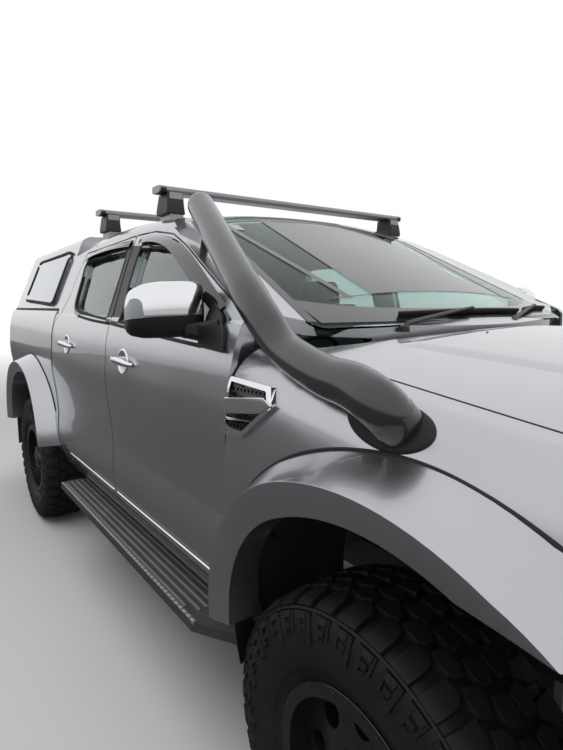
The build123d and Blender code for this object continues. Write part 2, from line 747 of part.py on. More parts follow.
def tub_section(grow=0):
    """The filled left half-section of the tub."""
    edges = side_edges(-grow, 6)
    rail = edges[-1] @ 1
    top = (rail.X - 14, TUB_RAIL_Z)
    edges += [
        Line((-60, SILL_Z), edges[0] @ 0),
        Line((rail.X, rail.Y), top),
        Line(top, (-60, TUB_RAIL_Z)),
        Line((-60, TUB_RAIL_Z), (-60, SILL_Z)),
    ]
    return make_face(edges)


def tub():
    """Load bed with double-skinned sides, wheel boxes, cross sills and rear posts."""
    half = taper_extrude(tub_section(), TUB_FRONT_X, TUB_REAR_X)
    gate_x = TUB_REAR_X + GATE_ROOM
    half -= box(gate_x - 1, TUB_FRONT_X - 40, -100, 775, TUB_FLOOR_Z, 1600)
    half -= box(-2700, 0, -100, 845, 400, TUB_FLOOR_Z - 40)
    half -= box(-2700, 0, -100, 1000, 400, 612)
    opening = opening_face(REAR_OPENING, REAR_AXLE_X)
    half += side_prism(grown(opening, 24), 572, 860) & box(-2300, -875, 572, 860, TUB_FLOOR_Z - 40, 1300)
    half -= side_prism(grown(opening, 12), 590, 862)
    half -= side_prism(opening, 590, 1100)
    half -= box(TUB_REAR_X - 5, gate_x, -100, 735, TUB_FLOOR_Z - 25, 1600)
    half -= tail_lamp_zone(3)
    for x, rail_top in TUB_SILLS:
        half += box(x - 40, x + 40, 0, 560, rail_top + SEAT_GAP, TUB_FLOOR_Z - 39)
    half += rod((GATE_HINGE[0], 700, GATE_HINGE[1]), (GATE_HINGE[0], 740, GATE_HINGE[1]), HINGE_PIN_R)
    keep = box(-2700, 0, 0, 1000, 400, 1600)
    return both(half & keep)


def tail_lamp_zone(grow):
    """The corner of the tub that the tail lamp fills."""
    return box(TUB_REAR_X - 20, TUB_REAR_X + 62 + min(grow, SEAT_GAP), 752 - grow, 1000, 985 - grow, 1352 + grow)


def tail_lamps():
    """Two tall tail lamps in the tub's rear corners."""
    half = taper_extrude(tub_section(), TUB_FRONT_X, TUB_REAR_X) & tail_lamp_zone(0)
    return both(half)


def tailgate():
    """The drop-down tailgate with its pressed panel, handle recess and hinge bores."""
    panel = box(TUB_REAR_X, TUB_REAR_X + 66, -728, 728, TUB_FLOOR_Z + 8, TUB_RAIL_Z - GATE_TOP_GAP)
    panel = fillet(panel.edges().filter_by(Axis.Y).group_by(Axis.X)[0], 12)
    panel -= box(TUB_REAR_X - 1, TUB_REAR_X + 8, -640, 640, 1090, 1300)
    panel -= box(TUB_REAR_X - 1, TUB_REAR_X + 30, -110, 110, 1340, 1410)
    bore = rod((GATE_HINGE[0], 690, GATE_HINGE[1]), (GATE_HINGE[0], 740, GATE_HINGE[1]), HINGE_PIN_R + RUN_GAP)
    return panel - both(bore)


def canopy_section(shift):
    """Half of the canopy's outer section, moved inwards by shift."""
    base = (CANOPY_BASE_Y - shift, TUB_RAIL_Z + SEAT_GAP)
    eave = (CANOPY_EAVE_Y - shift, CANOPY_EAVE_Z)
    edge = (CANOPY_EAVE_Y - 84 - shift, CANOPY_EAVE_Z + 46 - shift)
    top = (-60, CANOPY_TOP_Z - shift)
    edges = [
        Line((-60, base[1]), base),
        Line(base, eave),
        ThreePointArc(eave, (eave[0] - 26, eave[1] + 33 - shift * 0.6), edge),
        ThreePointArc(edge, (edge[0] * 0.5, top[1] - 7), top),
        Line(top, (-60, base[1])),
    ]
    return make_face(edges)


def canopy_profile(inset):
    """The canopy in side view, as a prism."""
    rows = [
        (TUB_FRONT_X - 6 - inset, 1400, 5),
        (TUB_FRONT_X - 6 - inset, 2010, 5),
        (CANOPY_REAR_TOP_X + 20 + inset, 2010, 5),
        (CANOPY_REAR_TOP_X + inset, 1905 - inset, 60),
        (CANOPY_REAR_LOW_X + inset * 1.05, TUB_RAIL_Z, 60),
        (CANOPY_REAR_LOW_X + inset * 1.05, 1400, 5),
    ]
    return side_prism(rounded_face(rows), -70, 1000)


def canopy_solid(inset):
    """The canopy filled, on the left side, moved inwards by inset."""
    return taper_extrude(canopy_section(inset), TUB_FRONT_X, TUB_REAR_X) & canopy_profile(inset)


def canopy_rear_cutter(grow, y0):
    """The rear door opening of the canopy."""
    face = rounded_face([(-690 - grow, 1496 - grow, 40), (690 + grow, 1496 - grow, 40), (585 + grow, 1838 + grow, 60),
                         (-585 - grow, 1838 + grow, 60)])
    return extrude(Plane.YZ.offset(-2700) * face, amount=500) & box(-2700, -2200, y0, 1000, 1400, 2000)


def canopy():
    """A hard canopy, open below, at its sides and at its rear."""
    half = canopy_solid(0) - canopy_solid(CANOPY_WALL)
    half -= box(-2700, -800, -100, CANOPY_BASE_Y - 70, 1400, 1520) & canopy_solid(CANOPY_WALL)
    half -= side_prism(rounded_face(CANOPY_WINDOW), 500, 1000)
    half -= canopy_rear_cutter(0, -100)
    half -= extrude(Plane.YZ.offset(-900) * rounded_face(
        [(-560, 1520, 40), (560, 1520, 40), (500, 1800, 60), (-500, 1800, 60)]), amount=100)
    keep = box(-2700, 0, 0, 1000, 1400, 2000)
    return both(half & keep)


def canopy_window():
    """The lift-up side window on the left, proud of the canopy's wall."""
    wall = canopy_proud(SEAT_GAP, CANOPY_PANE)
    return wall & side_prism(grown(rounded_face(CANOPY_WINDOW), CANOPY_OVERLAP), 500, 1000)


def canopy_proud(gap, depth):
    """A layer that lies gap outside the canopy's side wall."""
    low = TUB_RAIL_Z
    rows = [(CANOPY_BASE_Y + gap, low), (CANOPY_BASE_Y + gap + depth, low),
            (CANOPY_EAVE_Y + gap + depth, CANOPY_EAVE_Z), (CANOPY_EAVE_Y + gap, CANOPY_EAVE_Z)]
    return taper_extrude(make_face(Polyline(rows, close=True)), TUB_FRONT_X, TUB_REAR_X)


def canopy_door():
    """The lift-up rear door of the canopy, with its glass cut out."""
    slab_rows = [(CANOPY_REAR_TOP_X - SEAT_GAP, 1905), (CANOPY_REAR_LOW_X - SEAT_GAP, TUB_RAIL_Z),
                 (CANOPY_REAR_LOW_X - SEAT_GAP - CANOPY_PANE, TUB_RAIL_Z),
                 (CANOPY_REAR_TOP_X - SEAT_GAP - CANOPY_PANE, 1905)]
    slab = side_prism(make_face(Polyline(slab_rows, close=True)), -1000, 1000)
    return slab & (canopy_rear_cutter(8, -1000))


# Bumpers, bars, steps and other outside pieces


def cowl_panel():
    """The black plastic panel between the bonnet and the windscreen."""
    ring = plan_disc(BONNET_REAR_R - 9, 1335, 35) - plan_disc(SCUTTLE_R + SEAT_GAP, 1335, 35)
    return ring & box(1200, 1700, -600, 600, 1300, 1500)


def rear_bumper():
    """A stepped rear bumper on two brackets from the frame's ends."""
    bar = box(BODY_REAR_X + 2, TUB_REAR_X - 8, -860, 860, 700, 880)
    bar -= box(BODY_REAR_X, TUB_REAR_X - 60, -330, 330, 800, 900)
    bar = fillet(bar.edges().filter_by(Axis.Z).group_by(Axis.X)[0], 40)
    return bar + both(box(TUB_REAR_X - 10, FRAME_REAR_X - SEAT_GAP, FRAME_Y - 25, FRAME_Y + 25, 702, 740))


def tow_bar():
    """Cross tube, receiver and tongue with its ball-shank hole."""
    cross = box(FRAME_REAR_X - 60, FRAME_REAR_X - SEAT_GAP, -FRAME_Y - RAIL_HALF, FRAME_Y + RAIL_HALF, 622, 690)
    tube = box(-2600, -2500, -34, 34, 556, 626)
    tongue = box(BODY_REAR_X, -2590, -32, 32, 575, 575 + TONGUE_THICK)
    tongue -= Pos(TOW_HOLE_X, 0, 575 + TONGUE_THICK / 2) * Cylinder(TOW_HOLE_R, TONGUE_THICK + 2)
    return cross + tube + tongue


def roof_bars():
    """Two wing-section bars on four feet."""
    pieces = []
    for x, top in ROOF_BARS:
        section = FilletPolyline([(x - 40, top - 30), (x + 40, top - 30), (x + 40, top - 2), (x - 40, top - 2)],
                                 radius=[8, 12, 14, 12], close=True)
        bar = side_prism(make_face(section), 0, ROOF_BAR_HALF)
        foot = box(x - 52, x + 52, 640, 700, 1800, top - 29) - roof_solid(-SEAT_GAP)
        pieces.append(both(bar + foot))
    return solids(*pieces)


def side_steps():
    """Two ribbed side steps on brackets."""
    rows = [(STEP_REAR_X, 805), (STEP_REAR_X, STEP_Y), (STEP_FRONT_X - 150, STEP_Y), (STEP_FRONT_X, 900),
            (STEP_FRONT_X, 805)]
    board = extrude(Plane.XY.offset(STEP_Z - 38) * make_face(Polyline(rows, close=True)), amount=38)
    for i in range(5):
        y = 835 + i * 28
        board -= box(STEP_REAR_X + 30, STEP_FRONT_X - 175, y, y + 12, STEP_Z - 5, STEP_Z + 5)
    for x in (-420, 250, 920):
        rail_face = FRAME_Y + RAIL_HALF + SEAT_GAP
        board += box(x - 25, x + 25, rail_face, 830, STEP_Z - 30, STEP_Z - 6)
        board += box(x - 25, x + 25, rail_face, rail_face + 25, STEP_Z - 30, 640)
    return both(board)


def snorkel():
    """A round pipe from the guard up the right-hand windscreen pillar."""
    path = FilletPolyline(SNORKEL_PATH, radius=SNORKEL_RADII)
    pipe = sweep(Plane(origin=path @ 0, z_dir=path % 0) * Circle(SNORKEL_R), path=path)
    pipe += Pos(*SNORKEL_PATH[0]) * Sphere(SNORKEL_R)
    pipe -= mirror(nose_solid(-SEAT_GAP), about=Plane.XZ)
    pipe = pipe.solids().sort_by(SortBy.VOLUME)[-1]
    oval = Plane(origin=SNORKEL_FLANGE_AT, x_dir=(1, 0, -0.1), z_dir=SNORKEL_NORMAL) * Ellipse(*FLANGE_HALF)
    layer = nose_solid(-FLANGE_THICK) - nose_solid(-SEAT_GAP)
    return pipe + (mirror(layer, about=Plane.XZ) & extrude(oval, amount=60, both=True))


# Wheels and running gear


def wheel_profile(rows, x):
    """Turn a list of (y, radius) corners about the axle."""
    face = make_face(Polyline([(r, y) for y, r in rows], close=True))
    plane = Plane(origin=(x, 0, AXLE_Z), x_dir=(0, 0, 1), z_dir=(-1, 0, 0))
    return revolve(plane * face, Axis((x, 0, AXLE_Z), (0, 1, 0)), 360)


def tyre(x):
    """One mud-terrain tyre on the left side."""
    inner = TYRE_OUTER_Y - TYRE_WIDTH
    outer = TYRE_OUTER_Y
    half = TREAD_HALF
    side = [(BEAD_IN, BEAD_R), (BEAD_IN, RIM_LIP_R + 4), (10, 265), (0, 330), (8, 395), (22, 424)]
    rows = [(inner + u, r) for u, r in side] + [(WHEEL_Y - half, TYRE_R), (WHEEL_Y + half, TYRE_R)]
    rows += [(outer - u, r) for u, r in reversed(side)]
    rows += [(outer - 46, BEAD_R), (outer - 22, 300), (outer - 26, 388), (inner + 26, 388), (inner + 22, 300),
             (inner + 46, BEAD_R)]
    return wheel_profile(rows, x)


def rim(x):
    """A deep wheel with its lips, windows, hub bore, brake disc and centre cap."""
    inner = TYRE_OUTER_Y - TYRE_WIDTH + BEAD_IN - SEAT_GAP
    outer = TYRE_OUTER_Y - BEAD_IN + SEAT_GAP
    face = RIM_FACE_Y
    seat = BEAD_R - SEAT_GAP
    well = BEAD_R - 14
    bore = HUB_BORE_R
    barrel = wheel_profile([(inner - 8, well), (inner - 8, RIM_LIP_R), (inner, RIM_LIP_R), (inner, seat),
                            (outer, seat), (outer, RIM_LIP_R), (outer + 8, RIM_LIP_R), (outer + 8, well)], x)
    disc = wheel_profile([(face, bore), (face, well + 2), (face + 14, well + 2), (face + 34, 90), (face + 34, bore)], x)
    for i in range(RIM_WINDOWS):
        turned = Pos(x, face, AXLE_Z) * Rot(0, i * 360 / RIM_WINDOWS, 0) * Pos(0, 0, 150)
        disc -= turned * Rot(90, 0, 0) * Cylinder(30, 140)
    brake = wheel_profile([(face - 55, bore), (face - 55, 150), (face - 30, 150), (face - 30, 90), (face + 1, 90),
                           (face + 1, bore)], x)
    cap = wheel_profile([(face + 32, 0), (face + 32, 70), (face + 60, 62), (face + 60, 0)], x)
    return barrel + disc + brake + cap


def knuckle():
    """The left steering knuckle: kingpin post, spindle and steering arm."""
    x, y = FRONT_AXLE_X, KINGPIN_Y
    post = rod((x, y, AXLE_Z - POST_HALF), (x, y, AXLE_Z + POST_HALF), POST_R)
    spindle = rod((x, y, AXLE_Z), (x, TYRE_OUTER_Y - 64, AXLE_Z), HUB_BORE_R - RUN_GAP)
    arm = box(x - 150, x, y - 15, y + 10, AXLE_Z - 60, AXLE_Z - 30)
    bores = rod((x, y, AXLE_Z - POST_HALF - 1), (x, y, AXLE_Z - POST_HALF + 36), KINGPIN_R + RUN_GAP)
    bores += rod((x, y, AXLE_Z + POST_HALF - 36), (x, y, AXLE_Z + POST_HALF + 1), KINGPIN_R + RUN_GAP)
    return post + spindle + arm - bores


def chassis_frame():
    """Two box rails, kicked up at the rear, with cross members."""
    top = RAIL_TOP
    rows = [(FRAME_FRONT_X, RAIL_LOW), (FRAME_FRONT_X, top), (-900, top), (-1150, 800), (-1750, 800), (-2000, 745),
            (FRAME_REAR_X, 745), (FRAME_REAR_X, 620), (-1980, 620), (-1700, 690), (-1180, 690), (-950, RAIL_LOW)]
    rails = both(side_prism(make_face(Polyline(rows, close=True)), FRAME_Y - RAIL_HALF, FRAME_Y + RAIL_HALF))
    for x, z in CROSS_MEMBERS:
        rails += box(x - 45, x + 45, -FRAME_Y, FRAME_Y, z, z + 80)
    return rails


def engine_block():
    """The engine's mass as one block with the gearbox behind it, on two mounts."""
    engine = box(1400, 2010, -230, 230, 700, 1150)
    gearbox = box(645, 1400, -140, 140, 480, 598)
    bell = box(1300, 1400, -180, 180, 480, 599)
    link = box(1385, 1430, -180, 180, 480, 710)
    mounts = both(box(1660, 1740, 220, FRAME_Y + 20, RAIL_TOP + SEAT_GAP, RAIL_TOP + 40))
    return engine + gearbox + bell + link + mounts


def rear_axle():
    """Beam axle with its differential, spring seats, hub ends and propeller shaft."""
    x = REAR_AXLE_X
    beam = rod((x, -KINGPIN_Y, AXLE_Z), (x, KINGPIN_Y, AXLE_Z), 42)
    ball = Pos(x + 10, 0, AXLE_Z + 5) * Sphere(135)
    nose = rod((x + 60, 0, AXLE_Z + 8), (x + 160, 0, AXLE_Z + 10), 62)
    end = rod((x, KINGPIN_Y - 1, AXLE_Z), (x, TYRE_OUTER_Y - 64, AXLE_Z), HUB_BORE_R - RUN_GAP)
    seat = box(x - 60, x + 60, SPRING_Y - 35, SPRING_Y + 35, AXLE_Z + 30, LEAF_LOW_Z - SEAT_GAP)
    shaft = rod((x + 150, 0, AXLE_Z + 10), (640, 0, 530), 38)
    return beam + ball + nose + shaft + both(end + seat)


def rear_springs():
    """Leaf packs with eyes and shackles, and a damper on each side."""
    x = REAR_AXLE_X
    eye_z = AXLE_Z + 165
    rail_face = FRAME_Y + RAIL_HALF + SEAT_GAP
    pack = None
    for i, half in enumerate(LEAF_HALVES):
        low = LEAF_LOW_Z + LEAF * (len(LEAF_HALVES) - 1 - i)
        rise = LEAF_RISE * (half / LEAF_HALVES[0]) ** 2
        rows = [(x - half, low + rise), (x, low), (x + half, low + rise), (x + half, low + rise + LEAF + 1),
                (x, low + LEAF + 1), (x - half, low + rise + LEAF + 1)]
        leaf = side_prism(make_face(Polyline(rows, close=True)), SPRING_Y - 32, SPRING_Y + 32)
        pack = leaf if pack is None else pack + leaf
    pack += rod((x + 622, rail_face, eye_z), (x + 622, SPRING_Y + 38, eye_z), 26)
    pack += rod((x - 622, SPRING_Y - 38, eye_z), (x - 622, SPRING_Y + 41, eye_z), 26)
    pack += box(x - 650, x - 600, SPRING_Y + 33, SPRING_Y + 41, eye_z, eye_z + 125)
    pack += rod((x - 622, rail_face, eye_z + 110), (x - 622, SPRING_Y + 41, eye_z + 110), 16)
    damper = rod((x - 120, 470, AXLE_Z + 46), (x - 330, 470, AXLE_Z + 330), 28)
    damper += rod((x - 40, 470, AXLE_Z + 60), (x - 120, 470, AXLE_Z + 60), 16)
    damper += rod((x - 325, rail_face, AXLE_Z + 322), (x - 325, 480, AXLE_Z + 322), 12)
    return both(pack), both(damper)


def front_suspension():
    """Lower and upper arms with their pins, and the spring struts, one set a side."""
    x, y = FRONT_AXLE_X, KINGPIN_Y
    rail_face = FRAME_Y + RAIL_HALF + SEAT_GAP
    low_z = AXLE_Z - POST_HALF - 42
    high_z = AXLE_Z + POST_HALF + 8
    plan = [(x + 190, FRAME_Y - 60), (x + 150, FRAME_Y + 35), (x + 30, y - 75), (x + 26, y + 22), (x - 26, y + 22),
            (x - 30, y - 75), (x - 190, FRAME_Y + 35), (x - 230, FRAME_Y - 60)]
    lower = extrude(Plane.XY.offset(low_z) * make_face(Polyline(plan, close=True)), amount=34)
    lower -= box(x - 90, x + 90, FRAME_Y - 20, FRAME_Y + 100, 0, 500)
    lower += rod((x, y, low_z + 30), (x, y, low_z + 72), KINGPIN_R)
    for u in (130, -180):
        lower += box(x + u - 30, x + u + 30, FRAME_Y - 60, FRAME_Y - 10, low_z + 30, RAIL_LOW - SEAT_GAP)
    upper = box(x - 24, x + 24, y - 95, y + 22, high_z, high_z + 24)
    upper += rod((x, y, high_z - 28), (x, y, high_z + 4), KINGPIN_R)
    arm_z = high_z + 12
    upper += rod((x + 10, y - 85, arm_z), (x + 60, rail_face + 4, arm_z), 12)
    upper += rod((x - 10, y - 85, arm_z), (x - 150, y - 190, arm_z), 12) + Pos(x - 150, y - 190, arm_z) * Sphere(12)
    upper += rod((x - 150, y - 190, arm_z), (x - 175, rail_face + 4, arm_z), 12)
    u = x + STRUT_OFFSET
    strut = rod((u, 545, low_z + 20), (u, 478, AXLE_Z + 410), 30)
    strut += rod((u, 527, AXLE_Z + 45), (u, 486, AXLE_Z + 370), 50)
    strut += box(u - 70, u + 70, rail_face, 540, AXLE_Z + 400, AXLE_Z + 420)
    strut += box(u - 70, u + 70, rail_face, rail_face + 16, RAIL_LOW + 50, AXLE_Z + 420)
    return both(lower + strut), both(upper)


def front_axle():
    """Front differential with its two half shafts and bracket, and the steering rack."""
    x = FRONT_AXLE_X
    diff = Pos(x, 40, AXLE_Z) * Sphere(105)
    shafts = rod((x, -KINGPIN_Y + POST_R + 6, AXLE_Z), (x, KINGPIN_Y - POST_R - 6, AXLE_Z), 24)
    bracket = box(x - 30, x + 30, 0, 80, AXLE_Z + 60, 700 - SEAT_GAP)
    u = x + RACK_OFFSET
    rack = rod((u, -410, RAIL_LOW - 50), (u, 410, RAIL_LOW - 50), 26)
    feet = both(box(u - 25, u + 25, FRAME_Y - 20, FRAME_Y + 10, RAIL_LOW - 50, RAIL_LOW - SEAT_GAP))
    return solids(diff + shafts + bracket, rack + feet)


def exhaust():
    """A pipe with a silencer inside the left rail, hung from the cross members."""
    pipe = rod((1340, 292, 540), (-760, 292, 540), 32)
    pipe += rod((1340, 292, 540), (1352, 270, 690), 32) + Pos(1340, 292, 540) * Sphere(32)
    silencer = fillet(box(-240, 330, 225, 352, 480, 592).edges().filter_by(Axis.X), 40)
    hangers = box(560, 640, 284, 300, 560, 600 - SEAT_GAP) + box(-250, -200, 284, 300, 580, 600 - SEAT_GAP)
    return pipe + silencer + hangers


def fuel_tank():
    """A moulded tank inside the right rail, strapped under a cross member."""
    tank = box(-850, 150, -345, -60, 430, 600 - SEAT_GAP)
    return fillet(tank.edges().filter_by(Axis.X), 30)


def spare_wheel():
    """A road wheel hung flat under the tail on its winch bracket."""
    x = SPARE_X
    reach = FRAME_Y - RAIL_HALF - SEAT_GAP
    rows = [(190, 0), (SPARE_R - 18, 0), (SPARE_R, 30), (SPARE_R, 205), (SPARE_R - 18, 235), (190, 235)]
    tyre = revolve(Pos(x, 0, 372) * (Plane.XZ * make_face(Polyline(rows, close=True))), Axis((x, 0, 0), (0, 0, 1)), 360)
    disc = Pos(x, 0, 500) * Cylinder(192, 14)
    hanger = box(x - 30, x + 30, -60, 60, 500, 706) + box(x - 30, x + 30, -reach, reach, 680, 706)
    return solids(tyre + disc, hanger)


# Cabin


def seat(x, y, half, base_z):
    """One seat: plinth, cushion, raked back and head restraint."""
    cushion = Pos(x, y, base_z + 85) * Box(520, 2 * half, 170)
    cushion = fillet(cushion.edges(), 40)
    back = Pos(x - 300, y, base_z + 370) * Rot(0, -14, 0) * fillet(Box(130, 2 * half - 20, 620).edges(), 40)
    head = Pos(x - 390, y, base_z + 735) * Rot(0, -14, 0) * fillet(Box(90, 260, 150).edges(), 35)
    posts = rod((x - 375, y - 60, base_z + 640), (x - 390, y - 60, base_z + 730), 8)
    posts += rod((x - 375, y + 60, base_z + 640), (x - 390, y + 60, base_z + 730), 8)
    plinth = box(x - 200, x + 200, y - half + 60, y + half - 60, FLOOR_Z + SEAT_GAP, base_z + 20)
    return cushion + back + head + posts + plinth


def seats():
    """Two front seats and the rear bench."""
    return solids(seat(520, 360, 260, 820), seat(520, -360, 260, 820), seat(-300, 0, 640, 850))


def dashboard():
    """The dashboard with its cowls and centre stack, from door to door."""
    rows = [(1290, 1040), (1290, 1325), (1180, 1345), (1020, 1330), (975, 1270), (1010, 1150), (1110, 1040)]
    dash = side_prism(make_face(Polyline(rows, close=True)), -715, 715)
    stack = box(760, 1150, -92, 92, FLOOR_Z + SEAT_GAP, 1060) + box(1000, 1150, -130, 130, 1050, 1150)
    return dash + stack


def steering_wheel():
    """The steering wheel and its column, on the right-hand side."""
    centre = Plane(origin=STEERING_AT, x_dir=(0, 1, 0), z_dir=STEERING_AXIS)
    ring = centre * Torus(STEERING_R, 15)
    hub = centre * Pos(0, 0, 12) * Cylinder(62, 34)
    spokes = centre * (Pos(0, 0, 6) * Box(2 * STEERING_R - 10, 34, 14))
    spokes += centre * (Pos(0, -STEERING_R / 2, 6) * Box(34, STEERING_R - 6, 14))
    return ring + hub + spokes


def steering_column():
    """The column that runs from the wheel's back into the dashboard."""
    centre = Plane(origin=STEERING_AT, x_dir=(0, 1, 0), z_dir=STEERING_AXIS)
    return extrude(centre.offset(29.5) * Circle(34), amount=150)


def guard_vents():
    """A bright-framed vent on each front guard, behind the wheel."""
    outer = rounded_face([(1272, 1311, 8), (1449, 1300, 14), (1474, 1252, 14), (1342, 1152, 20), (1254, 1147, 8)])
    inner = rounded_face([(1282, 1298, 4), (1436, 1288, 8), (1454, 1252, 8), (1338, 1164, 12), (1264, 1160, 4)])
    layer = nose_solid(-VENT_PROUD) - nose_solid(-SEAT_GAP)
    frame = layer & (side_prism(outer, 700, 1100) - side_prism(inner, 700, 1100))
    bar = layer & side_prism(rounded_face([(1262, 1214, 3), (1264, 1244, 3), (1440, 1262, 3), (1468, 1252, 3),
                                           (1430, 1236, 3)]), 700, 1100)
    return both(frame + bar)


def left_right(name, shape):
    """Write a left-hand node and its mirror image as two nodes."""
    save(name + "_left", shape)
    save(name + "_right", mirror(shape, about=Plane.XZ))


def main():
    """Build and write every node."""
    save("chassis_frame", chassis_frame())
    save("engine_block", engine_block())
    save("rear_axle", rear_axle())
    springs, dampers = rear_springs()
    save("rear_springs", springs)
    save("rear_dampers", dampers)
    struts, upper_arms = front_suspension()
    save("front_struts", struts)
    save("front_upper_arms", upper_arms)
    save("front_axle", front_axle())
    save("exhaust", exhaust())
    save("fuel_tank", fuel_tank())
    save("spare_wheel", spare_wheel())
    save("cab_shell", cab_shell())
    windscreen, rear_screen = cab_glass()
    save("cab_glass", solids(windscreen, rear_screen))
    save("seats", seats())
    save("dashboard", solids(dashboard() - steering_column(), steering_column()))
    save("steering_wheel", steering_wheel())
    save("bonnet", bonnet())
    save("front_guards", front_guards())
    save("guard_vents", guard_vents())
    save("flares", flares())
    save("arch_liners", liner())
    save("headlamps", headlamps())
    save("front_bumper", front_bumper())
    frame, mesh = grille()
    save("grille", frame)
    save("grille_mesh", mesh)
    save("cowl_panel", cowl_panel())
    save("snorkel", snorkel())
    save("roof_bars", roof_bars())
    save("side_steps", side_steps())
    save("tub", tub())
    save("tail_lamps", tail_lamps())
    save("tailgate", tailgate())
    save("canopy", canopy())
    save("canopy_door", canopy_door())
    save("rear_bumper", rear_bumper())
    save("tow_bar", tow_bar())
    left_right("canopy_window", canopy_window())
    left_right("front_door", door(FRONT_DOOR, FRONT_WINDOW))
    left_right("rear_door", door(REAR_DOOR, REAR_WINDOW))
    left_right("front_door_glass", door_glass(FRONT_WINDOW))
    left_right("rear_door_glass", door_glass(REAR_WINDOW))
    left_right("mirror", mirror_head())
    left_right("knuckle", knuckle())
    left_right("front_tyre", tyre(FRONT_AXLE_X))
    left_right("front_rim", rim(FRONT_AXLE_X))
    left_right("rear_tyre", tyre(REAR_AXLE_X))
    left_right("rear_rim", rim(REAR_AXLE_X))


if __name__ == "__main__":
    main()
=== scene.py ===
"""Looks for the lifted off-road 4x4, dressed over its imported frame. Metres, +X forward, +Y left, +Z up."""

from functools import partial
import math

import bmesh
import bpy
from mathutils import Matrix, Vector
from mathutils.bvhtree import BVHTree


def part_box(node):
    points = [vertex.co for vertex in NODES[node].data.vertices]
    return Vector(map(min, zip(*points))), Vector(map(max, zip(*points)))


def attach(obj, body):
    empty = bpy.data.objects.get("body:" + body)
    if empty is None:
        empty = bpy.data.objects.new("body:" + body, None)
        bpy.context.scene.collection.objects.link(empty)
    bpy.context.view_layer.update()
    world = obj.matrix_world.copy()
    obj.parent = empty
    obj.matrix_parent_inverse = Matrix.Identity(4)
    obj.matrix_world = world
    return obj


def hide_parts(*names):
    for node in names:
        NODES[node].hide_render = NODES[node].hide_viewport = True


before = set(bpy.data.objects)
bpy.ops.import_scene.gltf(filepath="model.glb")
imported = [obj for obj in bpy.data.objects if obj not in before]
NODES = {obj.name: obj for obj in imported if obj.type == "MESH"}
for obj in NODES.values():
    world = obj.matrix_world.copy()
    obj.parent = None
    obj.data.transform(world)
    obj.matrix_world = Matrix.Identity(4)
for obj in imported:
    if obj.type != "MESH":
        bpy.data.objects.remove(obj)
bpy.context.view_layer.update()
SIDES = (("left", 1), ("right", -1))
FORWARD, ACROSS, UP = Vector((1, 0, 0)), Vector((0, 1, 0)), Vector((0, 0, 1))

# Sizes shared with the solids
FRONT_AXLE_X, REAR_AXLE_X, AXLE_Z = 1.772, -1.448, 0.435
WHEEL_Y, TREAD_R = 0.818, 0.435
MIRROR_AT, MIRROR_TURN = (1.015, 1.012, 1.490), 14.0
BAR_TOPS = ((0.366, 2.000), (-0.416, 2.016))
STEP_TOP, STEP_RIB_Y, STEP_RIB_GAP = 0.508, 0.823, 0.028
GUARD_EDGE_X = 1.282

WELD_GAP, SHARP_ANGLE, BEVEL_ANGLE = 0.00005, 26, 32
FLOOR_LOW = -0.0005


# Node trees


def feed(tree, made, wires):
    """Set a node's sockets, each to a value or to a link from another socket."""
    for key, value in wires.items():
        if isinstance(value, bpy.types.NodeSocket):
            tree.links.new(value, made.inputs[key])
        else:
            made.inputs[key].default_value = value
    return made


def node(tree, kind, wires=None, **settings):
    """A new node with its settings and sockets."""
    made = tree.nodes.new(kind)
    for key, value in settings.items():
        setattr(made, key, value)
    return feed(tree, made, wires or {})


# Camera and light


def camera():
    """The photograph's own viewing point."""
    yaw, pitch, roll = 2.512049, 0.135814, -0.0091427
    eye = (2.50465, -1.65355, 1.50616)
    d = Vector((math.cos(yaw) * math.cos(pitch), math.sin(yaw) * math.cos(pitch), -math.sin(pitch)))
    r = Vector((math.sin(yaw), -math.cos(yaw), 0))
    u = r.cross(d)
    right = r * math.cos(roll) + u * math.sin(roll)
    up = u * math.cos(roll) - r * math.sin(roll)
    data = bpy.data.cameras.new("camera")
    data.lens, data.sensor_width, data.clip_start = 25.054, 36, 0.05
    cam = bpy.data.objects.new("camera", data)
    cam.matrix_world = Matrix([(right[i], up[i], -d[i], eye[i]) for i in range(3)] + [(0, 0, 0, 1)])
    bpy.context.scene.collection.objects.link(cam)
    bpy.context.scene.camera = cam


def area(name, at, toward, size, watts):
    """One soft box, kept out of reflections."""
    data = bpy.data.lights.new(name, "AREA")
    data.shape = "RECTANGLE"
    data.size, data.size_y = size
    data.energy = watts
    lamp = bpy.data.objects.new(name, data)
    lamp.location = at
    lamp.rotation_euler = (Vector(toward) - Vector(at)).to_track_quat("-Z", "Y").to_euler()
    bpy.context.scene.collection.objects.link(lamp)
    lamp.visible_glossy = False


